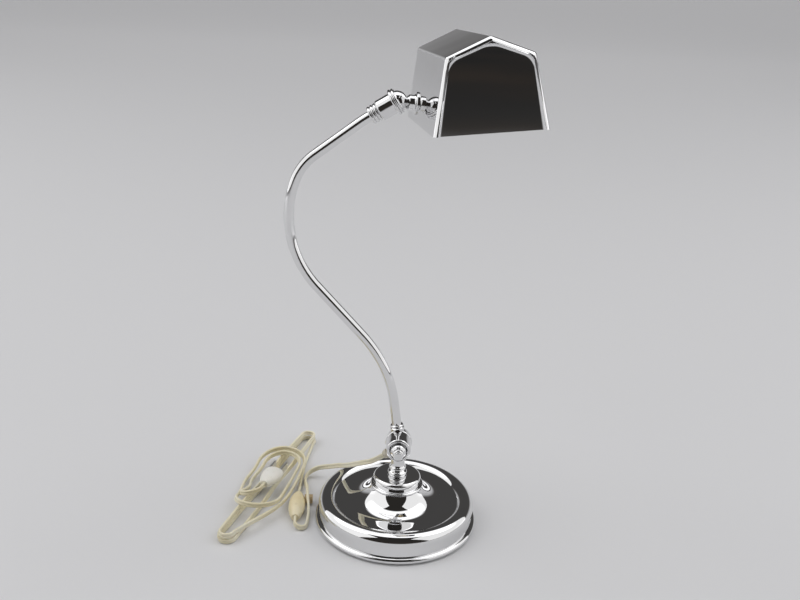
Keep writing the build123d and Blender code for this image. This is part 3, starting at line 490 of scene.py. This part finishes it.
def choose(piece):
    deselect()
    piece.select_set(True)
    bpy.context.view_layer.objects.active = piece


def lay_cord(name, points, sway):
    """Twin cord along a route, on edge with a slow sway; gives the piece, its centre line and its length."""
    curve = route_curve(name, points)
    centre = line_points(curve)
    for index, point in enumerate(curve.data.splines[0].points):
        point.tilt = sway * math.sin(index * 0.37)
    section = twin_section(CORD_WIDTH * MM)
    curve.data.bevel_mode = "OBJECT"
    curve.data.bevel_object = section
    curve.data.use_fill_caps = True
    choose(curve)
    bpy.ops.object.convert(target="MESH")
    piece = bpy.context.object
    bpy.data.objects.remove(section)
    bpy.ops.object.shade_smooth_by_angle(angle=math.radians(50))
    coat(piece, vinyl_cord)
    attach(piece, "base")
    length = sum(math.dist(first, second) for first, second in zip(centre, centre[1:]))
    print(name, "length", round(length, 3), "faces", len(piece.data.polygons))
    return piece, centre, length


lead_piece, lead_line, lead_length = lay_cord("lead_cord", LEAD, 0.10)
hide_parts("cord_lead")
hank_piece, hank_line, hank_length = lay_cord("hank_cord", hank, 0.30)
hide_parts("cord_hank")

# %% [markdown]
# ## Turning the polished pieces
# Most of this lamp came off a lathe or a spinning chuck. A lathe in Blender is one vertex, extruded along the
# outline of half the piece and spun round the axis. 128 steps keep the mirror smooth.

# %% The lathe
def frame_at(origin, axis, across):
    """Place with its Z along axis, in metres from an origin in millimetres."""
    z = Vector(axis).normalized()
    x = (Vector(across) - z * Vector(across).dot(z)).normalized()
    y = z.cross(x)
    spot = Vector(origin) * MM
    return Matrix((
        (x.x, y.x, z.x, spot.x), (x.y, y.y, z.y, spot.y), (x.z, y.z, z.z, spot.z), (0, 0, 0, 1)
    ))


def profile(start, *steps):
    """Outline of (radius, height) points. A step is a point, or a point on an arc and then the arc's end."""
    outline = [start]
    for step in steps:
        if len(step) == 4:
            outline += arc_points(outline[-1], step[:2], step[2:])
        else:
            outline.append(step)
    return outline


def arc_points(start, middle, end, every=7.0):
    """Points of the arc through three points, without its start."""
    (ax, ay), (bx, by), (cx, cy) = start, middle, end
    twice = 2 * (ax * (by - cy) + bx * (cy - ay) + cx * (ay - by))
    sums = [x * x + y * y for x, y in (start, middle, end)]
    ux = (sums[0] * (by - cy) + sums[1] * (cy - ay) + sums[2] * (ay - by)) / twice
    uy = (sums[0] * (cx - bx) + sums[1] * (ax - cx) + sums[2] * (bx - ax)) / twice
    first = math.atan2(ay - uy, ax - ux)
    sweep = (math.atan2(cy - uy, cx - ux) - first) % math.tau
    if (math.atan2(by - uy, bx - ux) - first) % math.tau > sweep:
        sweep -= math.tau
    count = max(3, math.ceil(abs(math.degrees(sweep)) / every))
    size = math.dist(start, (ux, uy))
    turns = [first + sweep * step / count for step in range(1, count + 1)]
    return [(ux + size * math.cos(turn), uy + size * math.sin(turn)) for turn in turns]


def start_vertex(name, spot):
    """A new mesh with one vertex, open in edit mode."""
    deselect()
    bpy.ops.mesh.primitive_plane_add(size=0.001)
    piece = bpy.context.object
    piece.name = name
    bpy.ops.object.mode_set(mode="EDIT")
    bpy.ops.mesh.select_mode(type="VERT")
    bpy.ops.mesh.select_all(action="SELECT")
    bpy.ops.mesh.merge(type="CENTER")
    bpy.ops.transform.translate(value=spot)
    return piece


def settle(piece, place, body, material, replaced, crease):
    """Leave edit mode, apply the place, smooth and finish a piece."""
    bpy.ops.object.mode_set(mode="OBJECT")
    piece.matrix_world = place
    bpy.ops.object.transform_apply(location=True, rotation=True, scale=True)
    bpy.ops.object.shade_smooth_by_angle(angle=math.radians(crease))
    coat(piece, material)
    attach(piece, body)
    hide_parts(*replaced)
    print(piece.name, "faces", len(piece.data.polygons))
    return piece


TURNED_CREASE = 32.0
UPRIGHT = Matrix.Identity(4)


def lathe(name, outline, body, material, place=UPRIGHT, replaced=(), steps=128):
    """Spin a closed outline of (radius, height) in millimetres about Z and stand it at its place."""
    path = [Vector((radius * MM, 0, height * MM)) for radius, height in outline]
    path.append(path[0])
    piece = start_vertex(name, path[0])
    for here, there in zip(path, path[1:]):
        if (there - here).length > 1e-7:
            bpy.ops.mesh.extrude_region_move(TRANSFORM_OT_translate={"value": there - here})
    bpy.ops.mesh.select_all(action="SELECT")
    bpy.ops.mesh.spin(steps=steps, angle=math.tau, center=(0, 0, 0), axis=(0, 0, 1))
    bpy.ops.mesh.select_all(action="SELECT")
    bpy.ops.mesh.remove_doubles(threshold=1e-6)
    bpy.ops.mesh.normals_make_consistent(inside=False)
    return settle(piece, place, body, material, replaced, TURNED_CREASE)


# %% [markdown]
# ## The base
# The base is spun from one disc of brass or steel: a bead at the foot, a plain skirt, a fat rolled ring, a
# shallow dish, and a bell that sweeps up to a small cap. The outline follows the section from the foot over
# the top and back along the inside of the sheet.

# %% The base shell
base_outline = profile(
    (73.4, 0.5), (75.0, 0.5), (78.0, 3.5, 74.6, 6.473), (74.6, 9.5), (74.6, 13.0), (74.6, 16.22),
    (66.5, 27.3, 59.42, 23.5), (53.0, 23.5), (46.84, 23.5), (33.42, 27.73, 25.0, 38.5), (23.9, 38.5),
    (25.15, 39.75, 22.8, 40.344), (22.8, 43.5), (22.8, 46.3), (21.863, 48.563, 19.6, 49.5), (12.0, 49.5),
    (4.8, 49.5), (4.8, 48.3), (19.6, 48.3), (21.014, 47.714, 21.6, 46.3), (21.6, 37.3), (23.3, 37.3),
    (32.73, 26.75, 46.84, 22.3), (60.07, 22.3), (66.5, 26.1, 73.4, 16.4),
)
lathe("base_skin", base_outline, "base", chrome_turned, replaced=["base_shell"], steps=192)

# %% [markdown]
# ## Neck and knuckle
# A ringed neck stands on the cap. Its saddle carries the fixed cup of the friction joint, and the thumb knob
# in front pinches the arm's cup against it. All of these are turned about the pivot, which lies along Y. The
# saddle is cut out of the neck by a Boolean with a cylinder in the place of the two cups.

# %% Neck
PIVOT_HEIGHT = 80.5
PIVOT = frame_at((0, 0, PIVOT_HEIGHT), (0, 1, 0), (1, 0, 0))


def carve(piece, radius, low, high):
    """Cut a cylinder about the pivot out of a piece, between two places along Y."""
    deselect()
    spot = (0, (low + high) / 2 * MM, PIVOT_HEIGHT * MM)
    bpy.ops.mesh.primitive_cylinder_add(
        vertices=128, radius=radius * MM, depth=(high - low) * MM, location=spot, rotation=(math.pi / 2, 0, 0)
    )
    cutter = bpy.context.object
    choose(piece)
    cut = piece.modifiers.new("carve", "BOOLEAN")
    cut.object = cutter
    cut.solver = "EXACT"
    bpy.ops.object.modifier_apply(modifier="carve")
    bpy.data.objects.remove(cutter)


neck_outline = profile(
    (4.8, 49.5), (8.0, 49.5), (9.4, 51.75, 8.0, 54.0), (7.2, 54.6), (7.2, 55.2), (8.2, 57.2, 7.2, 59.2),
    (6.6, 60.2), (6.6, 65.0), (6.6, 74.0), (0.0, 74.0), (0.0, 59.5), (4.8, 59.5),
)
neck_piece = lathe("neck_rings", neck_outline, "base", chrome_turned, replaced=["neck"], steps=96)
carve(neck_piece, 12.0, -14.0, 3.7)
carve(neck_piece, 13.2, 3.6, 16.0)
choose(neck_piece)
bpy.ops.object.shade_smooth_by_angle(angle=math.radians(TURNED_CREASE))
print("neck faces after carving", len(neck_piece.data.polygons))

# %% Cups and thumb knob
front_outline = profile(
    (3.05, -10.9), (7.4, -10.9), (7.9, -11.2), (9.8, -12.6, 11.55, -11.0), (11.8, -3.5), (12.2, 3.8),
    (10.44, 3.8), (9.7, -9.0), (5.2, -9.0), (5.2, 3.2), (3.05, 3.2),
)
lathe("front_cup", front_outline, "base", chrome_fitting, PIVOT, ["fixed_cup"])
knob_outline = profile(
    (3.05, -12.3), (7.0, -12.3), (7.5, -14.07, 7.1, -15.84), (5.9, -17.02), (5.3, -17.807), (5.3, -19.97),
    (4.9, -20.56, 4.3, -21.15), (4.3, -23.3), (4.0, -23.85, 3.4, -24.1), (0.0, -24.1), (0.0, -22.1),
    (3.05, -22.1),
)
lathe("clamp_knob", knob_outline, "thumb_knob", chrome_fitting, PIVOT, ["thumb_knob"], steps=96)
back_outline = profile(
    (3.05, 4.5), (5.2, 4.5), (5.2, 12.8), (10.2, 12.8), (10.2, 3.9), (11.5, 3.9), (12.7, 5.2, 11.9, 6.5),
    (11.9, 12.0), (10.7, 14.3, 7.7, 15.2), (3.05, 15.2),
)
lathe("back_cup", back_outline, "arm", chrome_fitting, PIVOT)

# %% [markdown]
# ## The arm
# The arm is one tube bent three times. A curve with a round bevel follows straight runs and arcs, and is then
# made a mesh. A socket on the back cup and a small collar hide where it starts.

# %% The bent tube
ARM_START = Vector((0, 9.5, PIVOT_HEIGHT))
ARM_HEADING = 99.0
ARM_HIDDEN = 8.2
ARM_INTO_COLLAR = 4.0
TUBE_RADIUS = 4.6
# Each run is a straight length, with no turn, or a bend's radius and its turn in degrees.
ARM_RUNS = [
    (42.0 - ARM_HIDDEN, 0), (125.0, 34.0), (62.0, 0), (95.0, -62.5), (49.0, -33.0), (46.0, 0), (150.0, -5.5),
]


def toward(angle):
    """Direction in the arm's plane, from X up."""
    return Vector((math.cos(math.radians(angle)), 0, math.sin(math.radians(angle))))


def arm_line():
    """Points of the arm's centre line in millimetres, with its end and heading."""
    heading = ARM_HEADING
    here = ARM_START + toward(heading) * ARM_HIDDEN
    points = [here.copy()]
    for size, turn in ARM_RUNS:
        count = max(2, round(abs(turn) / 1.5)) if turn else max(2, round(size / 6))
        for step in range(count):
            if turn:
                heading += turn / count / 2
                here = here + toward(heading) * (2 * size * math.sin(math.radians(abs(turn) / count / 2)))
                heading += turn / count / 2
            else:
                here = here + toward(heading) * (size / count)
            points.append(here.copy())
    return points, here, heading


arm_points, arm_end, arm_heading = arm_line()
tip_way = toward(arm_heading)
arm_points.append(arm_end + tip_way * ARM_INTO_COLLAR)
arm_data = bpy.data.curves.new("arm_bent", "CURVE")
arm_data.dimensions = "3D"
arm_data.bevel_depth = TUBE_RADIUS * MM
arm_data.bevel_resolution = 14
arm_data.use_fill_caps = True
arm_spline = arm_data.splines.new("POLY")
arm_spline.points.add(len(arm_points) - 1)
for point, spot in zip(arm_spline.points, arm_points):
    point.co = (*(spot * MM), 1.0)
arm_piece = bpy.data.objects.new("arm_bent", arm_data)
bpy.context.scene.collection.objects.link(arm_piece)
choose(arm_piece)
bpy.ops.object.convert(target="MESH")
arm_piece = bpy.context.object
bpy.ops.object.shade_smooth_by_angle(angle=math.radians(40))
coat(arm_piece, chrome_tube)
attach(arm_piece, "arm")
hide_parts("arm_tube")
print("arm end", tuple(round(value, 2) for value in arm_end), "heading", round(arm_heading, 2))

ARM_FOOT = frame_at(ARM_START, toward(ARM_HEADING), (0, 1, 0))
socket_outline = profile((4.65, 9.0), (6.4, 9.0), (6.4, 12.7), (4.65, 12.7))
socket = lathe("arm_socket", socket_outline, "arm", chrome_fitting, ARM_FOOT, ["arm_cup"], steps=64)
choose(socket)
bpy.ops.object.mode_set(mode="EDIT")
bpy.ops.mesh.select_all(action="SELECT")
bpy.ops.mesh.bisect(plane_co=(0, 3.9 * MM, 0), plane_no=(0, -1, 0), clear_outer=True, use_fill=True)
bpy.ops.object.mode_set(mode="OBJECT")
collar_outline = profile(
    (4.65, 12.7), (6.4, 12.7), (6.4, 14.3), (5.6, 14.9), (6.3, 16.1, 5.2, 17.7), (4.65, 17.7)
)
lathe("arm_ring", collar_outline, "arm", chrome_fitting, ARM_FOOT, ["arm_collar"], steps=64)

# %% [markdown]
# ## The ball connector
# At the arm's end a ribbed collar carries a barrel, the barrel's beaded cap holds a ball, and the ball's
# waisted neck runs to a thin flange against the shade.

# %% Collar, barrel, cap and ball
TIP = frame_at(arm_end, tip_way, (0, 1, 0))
rib_outline = profile(
    (4.65, -1.5), (6.9, -1.5), (8.0, -0.075, 6.9, 1.35), (8.0, 2.775, 6.9, 4.2), (8.0, 5.625, 6.9, 7.05),
    (5.5, 7.05), (5.5, 13.05), (2.2, 13.05), (2.2, 4.0), (4.65, 4.0),
)
lathe("ribbed_collar", rib_outline, "arm", chrome_fitting, TIP, ["upper_collar"], steps=96)

BALL_REACH = 24.55
BALL = arm_end + tip_way * BALL_REACH
barrel_outline = profile(
    (5.55, 7.15), (8.2, 7.15), (8.75, 7.75, 9.0, 8.95), (9.0, 14.0), (9.0, 20.55), (7.726, 20.55),
    (5.75, 18.02, 3.0, 16.384), (3.0, 13.25), (5.55, 13.25),
)
lathe("socket_barrel", barrel_outline, "swivel", chrome_fitting, TIP, ["swivel_barrel"], steps=96)
cap_outline = profile(
    (7.726, 20.55), (9.0, 20.55), (10.4, 20.85), (11.7, 22.05, 10.4, 23.55), (11.3, 24.85, 9.8, 25.95),
    (9.367, 26.55), (8.467, 26.55), (8.64, 23.53, 7.726, 20.55),
)
lathe("socket_cap", cap_outline, "swivel", chrome_fitting, TIP, ["swivel_cap"], steps=96)

NECK_WAY = Vector((0.98092, 0.164064, -0.1043))
NECK = frame_at(BALL, NECK_WAY, (0, 1, 0))
ball_outline = profile(
    (2.2, -8.314), (8.6, 0.0, 4.2, 7.505), (6.7, 10.005), (6.7, 13.0), (7.432, 14.768, 9.2, 15.5),
    (9.6, 15.9), (9.6, 16.9), (4.05, 16.9), (4.05, 12.9), (2.2, 12.9),
)
lathe("ball_and_neck", ball_outline, "ball_neck", chrome_fitting, NECK, ["ball_neck"], steps=96)
print("ball at", tuple(round(value, 2) for value in BALL))

# %% [markdown]
# ## The shade
# The shade is a trough folded from polished sheet: two walls, two roof slopes and two pressed ends. The walls
# start as one outline extruded along the trough; its folds are bevelled, and Solidify gives the sheet its
# thickness. Each end is a shallow pan pressed from the same sheet: a rounded rim on all sides but the bottom,
# then a cove down to the plate. Insets that leave the boundary alone draw one ring of the cove after another.

# %% The shade's frame
def turn_matrix(yaw, pitch, roll):
    return (
        Matrix.Rotation(math.radians(yaw), 3, "Z")
        @ Matrix.Rotation(math.radians(pitch), 3, "X")
        @ Matrix.Rotation(math.radians(roll), 3, "Y")
    )


MOUTH_HALF = 46.3
EAVE_HALF = 35.0
EAVE_HEIGHT = 58.2
RIDGE_HEIGHT = 72.3
SHADE_LENGTH = 125.0
END_DEPTH = 4.0
FOLD_OFFSET = 1.6
FOLD_SEGMENTS = 6
SHEET_CREASE = 30.0
SHADE_OUTLINE = [
    (-MOUTH_HALF, 0.0), (-EAVE_HALF, EAVE_HEIGHT), (0.0, RIDGE_HEIGHT), (EAVE_HALF, EAVE_HEIGHT),
    (MOUTH_HALF, 0.0),
]
JOINT_HEIGHT = 15.0
JOINT_ALONG = 89.0
FLANGE_REACH = 17.0
SHADE_TURN = turn_matrix(9.6, -1.0, -5.0)
lean = math.atan2(MOUTH_HALF - EAVE_HALF, EAVE_HEIGHT)
joint_local = Vector((-MOUTH_HALF + JOINT_HEIGHT * math.tan(lean), JOINT_ALONG, JOINT_HEIGHT))
shade_origin = (BALL + NECK_WAY * FLANGE_REACH - SHADE_TURN @ joint_local) * MM
SHADE = Matrix.Translation(shade_origin) @ SHADE_TURN.to_4x4()


def bend_outline(name):
    """The shade's outline as a chain of edges, open in edit mode and all selected."""
    piece = start_vertex(name, Vector((-MOUTH_HALF, END_DEPTH, 0.0)) * MM)
    for here, there in zip(SHADE_OUTLINE, SHADE_OUTLINE[1:]):
        step = Vector((there[0] - here[0], 0, there[1] - here[1])) * MM
        bpy.ops.mesh.extrude_region_move(TRANSFORM_OT_translate={"value": step})
    bpy.ops.mesh.select_all(action="SELECT")
    return piece


def thicken(piece, thickness):
    """Give a sheet its thickness, inward from the face that shows."""
    bpy.ops.object.mode_set(mode="OBJECT")
    sheet = piece.modifiers.new("sheet", "SOLIDIFY")
    sheet.thickness = thickness * MM
    sheet.offset = -1.0
    bpy.ops.object.modifier_apply(modifier="sheet")


def pick(piece, kind, test):
    """Select the vertices, edges or faces that pass a test on their middle."""
    bpy.ops.mesh.select_all(action="DESELECT")
    bpy.ops.object.mode_set(mode="OBJECT")
    mesh = piece.data
    count = 0
    for item in getattr(mesh, kind):
        if kind == "vertices":
            middle = item.co
        else:
            middle = sum((mesh.vertices[v].co for v in item.vertices), Vector()) / len(item.vertices)
        chosen = test(middle / MM, item)
        item.select = chosen
        count += chosen
    bpy.ops.object.mode_set(mode="EDIT")
    mode = {"vertices": "VERT", "edges": "EDGE", "polygons": "FACE"}[kind]
    bpy.ops.mesh.select_mode(type=mode)
    return count


# %% The folded trough
trough = bend_outline("trough_sheet")
bpy.ops.mesh.extrude_region_move(
    TRANSFORM_OT_translate={"value": (0, (SHADE_LENGTH - 2 * END_DEPTH) * MM, 0)}
)
bpy.ops.mesh.select_all(action="SELECT")
bpy.ops.mesh.normals_make_consistent(inside=False)
folds = pick(trough, "edges", lambda middle, edge: abs(middle.y - SHADE_LENGTH / 2) < 1 and middle.z > 50)
bpy.ops.mesh.bevel(offset=FOLD_OFFSET * MM, segments=FOLD_SEGMENTS, profile=0.5)
thicken(trough, 0.9)
outward = sum(1 for face in trough.data.polygons if face.center.z > 0.071 and face.normal.z > 0.5)
print("folds bevelled", folds, "ridge faces that look up", outward)
settle(trough, SHADE, "shade", chrome_sheet, ["shade_shell"], SHEET_CREASE)

# %% The pressed ends
PLATE_AREA = 0.002
RIM_OFFSET = 3.4
PLATE_CORNER = 8.0
CORNER_SLOPE = 0.6
# Rings of the cove, from the rim to the plate: how wide each one is and how far it goes in.
COVE_RINGS = ((0.25, 0.4), (0.35, 0.6), (0.45, 0.5), (0.5, 0.25), (0.6, 0.05), (0.8, 0.0))


def is_plate(middle, face):
    return face.area > PLATE_AREA


def plate_vertices(piece):
    """Indices of the corners of the one large face."""
    bpy.ops.object.mode_set(mode="OBJECT")
    corners = {index for face in piece.data.polygons if face.area > PLATE_AREA for index in face.vertices}
    bpy.ops.object.mode_set(mode="EDIT")
    return corners


def pressed_end(name, place, replaced):
    """A pan with a rounded rim, and a cove down to a plate with rounded corners."""
    piece = bend_outline(name)
    bpy.ops.mesh.extrude_region_move(TRANSFORM_OT_translate={"value": (0, -END_DEPTH * MM, 0)})
    pick(piece, "edges", lambda middle, edge: abs(middle.y - END_DEPTH / 2) < 0.1 and middle.z > 50)
    bpy.ops.mesh.bevel(offset=FOLD_OFFSET * MM, segments=FOLD_SEGMENTS, profile=0.5)
    pick(piece, "vertices", lambda middle, vertex: middle.y < 0.01)
    bpy.ops.mesh.edge_face_add()
    bpy.ops.mesh.select_all(action="SELECT")
    bpy.ops.mesh.normals_make_consistent(inside=False)
    pick(piece, "edges", lambda middle, edge: middle.y < 0.01 and middle.z > 0.5)
    bpy.ops.mesh.bevel(offset=RIM_OFFSET * MM, segments=6, profile=0.36)
    pick(piece, "polygons", is_plate)
    bpy.ops.mesh.inset(thickness=0.4 * MM, use_boundary=False)
    for corner in (-EAVE_HALF, 0.0, EAVE_HALF):
        plate = plate_vertices(piece)
        pick(
            piece, "vertices",
            lambda middle, vertex: vertex.index in plate and abs(middle.x - corner) < 6 and middle.z > 40,
        )
        bpy.ops.mesh.merge(type="CENTER")
    plate = plate_vertices(piece)
    pick(piece, "vertices", lambda middle, vertex: vertex.index in plate and middle.z > 40)
    bpy.ops.mesh.bevel(offset=PLATE_CORNER * MM, segments=8, affect="VERTICES")
    pick(piece, "polygons", is_plate)
    bpy.ops.transform.translate(value=(0, CORNER_SLOPE * MM, 0))
    for width, depth in COVE_RINGS:
        pick(piece, "polygons", is_plate)
        bpy.ops.mesh.inset(thickness=width * MM, depth=-depth * MM, use_boundary=False)
    thicken(piece, 0.7)
    settle(piece, place, "shade", chrome_sheet, replaced, SHEET_CREASE)


pressed_end("front_pan", SHADE, ["shade_front_end"])
rear_place = SHADE @ Matrix.Translation((0, SHADE_LENGTH * MM, 0)) @ Matrix.Rotation(math.pi, 4, "Z")
pressed_end("rear_pan", rear_place, ["shade_rear_end"])

# %% [markdown]
# ## Floor, light and surroundings
# Chrome has no look of its own: it shows what stands around it. The floor is plain and pale where the lamp
# stands. Behind the camera its colour fades to near black with a faint warm mottle: painted shade that stands
# for an unlit room, for the chrome to mirror. Far behind the lamp its colour turns paler: painted light that
# makes up for the panels' light falling off there. A pale backdrop meets the floor at the back, a soft light
# hangs overhead, and a tall panel at each side draws the bright lines along the tube, the bell and the
# shade's rim. The panels stay just under full white, so that a wall that mirrors one keeps its form.

# %% Floor
FLOOR_SIZE = 400.0
deselect()
bpy.ops.mesh.primitive_plane_add(size=1.0)
floor = bpy.context.object
floor.name = "studio_floor"
bpy.ops.object.mode_set(mode="EDIT")
bpy.ops.mesh.subdivide(number_cuts=3)
bpy.ops.object.mode_set(mode="OBJECT")
floor.scale = (FLOOR_SIZE, FLOOR_SIZE, 1.0)
bpy.ops.object.transform_apply(location=False, rotation=False, scale=True)
floor_finish = Finish("pale_floor")
floor_place = floor_finish.node("ShaderNodeTexCoord", output="Object")
floor_y = floor_finish.node("ShaderNodeSeparateXYZ", {}, {"Vector": floor_place}, output=1)
# Painted shade: this mask takes the floor's colour from pale to the near black of an unlit room, between 1.1
# m and 3.2 m in front of the lamp.
painted_room_shade_mask = floor_finish.between(floor_y, -3.2, -1.1)
# Painted light: this mask makes the floor's colour paler from 1.6 m to 6.5 m behind the lamp, to make up for
# the panels' light falling off there.
painted_far_light = floor_finish.between(floor_y, 1.6, 6.5)
floor_grain = floor_finish.noise(0.004, 3.0)
floor_tone = floor_finish.mix(floor_grain * 0.25, (0.72, 0.72, 0.73), (0.68, 0.68, 0.69))
# Painted light mixed into the floor's own colour at the far back.
floor_tone = floor_finish.mix(painted_far_light, floor_tone, (0.90, 0.90, 0.91))
# Painted shade: the colour of that unlit room, near black with a faint warm mottle that the chrome mirrors.
painted_shade_warmth = floor_finish.between(floor_finish.noise(2.4, 1.0), 0.35, 0.75)
painted_room_shade = floor_finish.mix(painted_shade_warmth, (0.011, 0.010, 0.009), (0.034, 0.024, 0.016))
# Painted shade in front of the lamp, the floor's own colour where the lamp stands.
floor_colour = floor_finish.mix(painted_room_shade_mask, painted_room_shade, floor_tone)
coat(floor, floor_finish.set(Base_Color=floor_colour, Roughness=0.8))

# %% World and lamps
sky = Finish("sky", bpy.data.worlds.new("studio_world"), "Background")
bpy.context.scene.world = sky.owner
direction = sky.node("ShaderNodeTexCoord", output="Generated")
across = sky.node("ShaderNodeSeparateXYZ", {}, {"Vector": direction}, output=0)
depth = sky.node("ShaderNodeSeparateXYZ", {}, {"Vector": direction}, output=1)
rise = sky.node("ShaderNodeSeparateXYZ", {}, {"Vector": direction}, output=2)
backdrop = sky.between(depth, -0.10, 0.45) * sky.between(rise, 0.05, 0.25, 1.0, 0.08)
back = depth - 0.12
spread = across * across * 0.25 + back * back
overhead = sky.between(spread, 0.11, 0.19, 1.0, 0.0) * sky.between(rise, 0.0, 0.2)
room = sky.mix(sky.between(rise, 0.05, 0.45), (0.034, 0.029, 0.025), (0.026, 0.024, 0.022))
tone = sky.mix(backdrop, room, (0.50, 0.50, 0.51))
sky.set(Color=sky.mix(overhead, tone, (1.45, 1.45, 1.47)), Strength=1.0)


PANEL_SIZE = (5.7, 4.6)
PANEL_AIM = Vector((0.0, -0.05, 0.45))


def panel(name, spot, power):
    """A soft rectangular light that looks at the lamp's middle."""
    data = bpy.data.lights.new(name, "AREA")
    data.shape = "RECTANGLE"
    data.size, data.size_y = PANEL_SIZE
    data.energy = power
    lamp = bpy.data.objects.new(name, data)
    bpy.context.scene.collection.objects.link(lamp)
    look = PANEL_AIM - Vector(spot)
    lamp.matrix_world = Matrix.Translation(spot) @ look.to_track_quat("-Z", "Y").to_matrix().to_4x4()


panel("left_panel", (-3.2, -0.55, 2.2), 85.0)
panel("right_panel", (3.2, -0.55, 2.2), 79.0)
bpy.context.scene.view_settings.view_transform = "Standard"
print("floor, world and panels set")
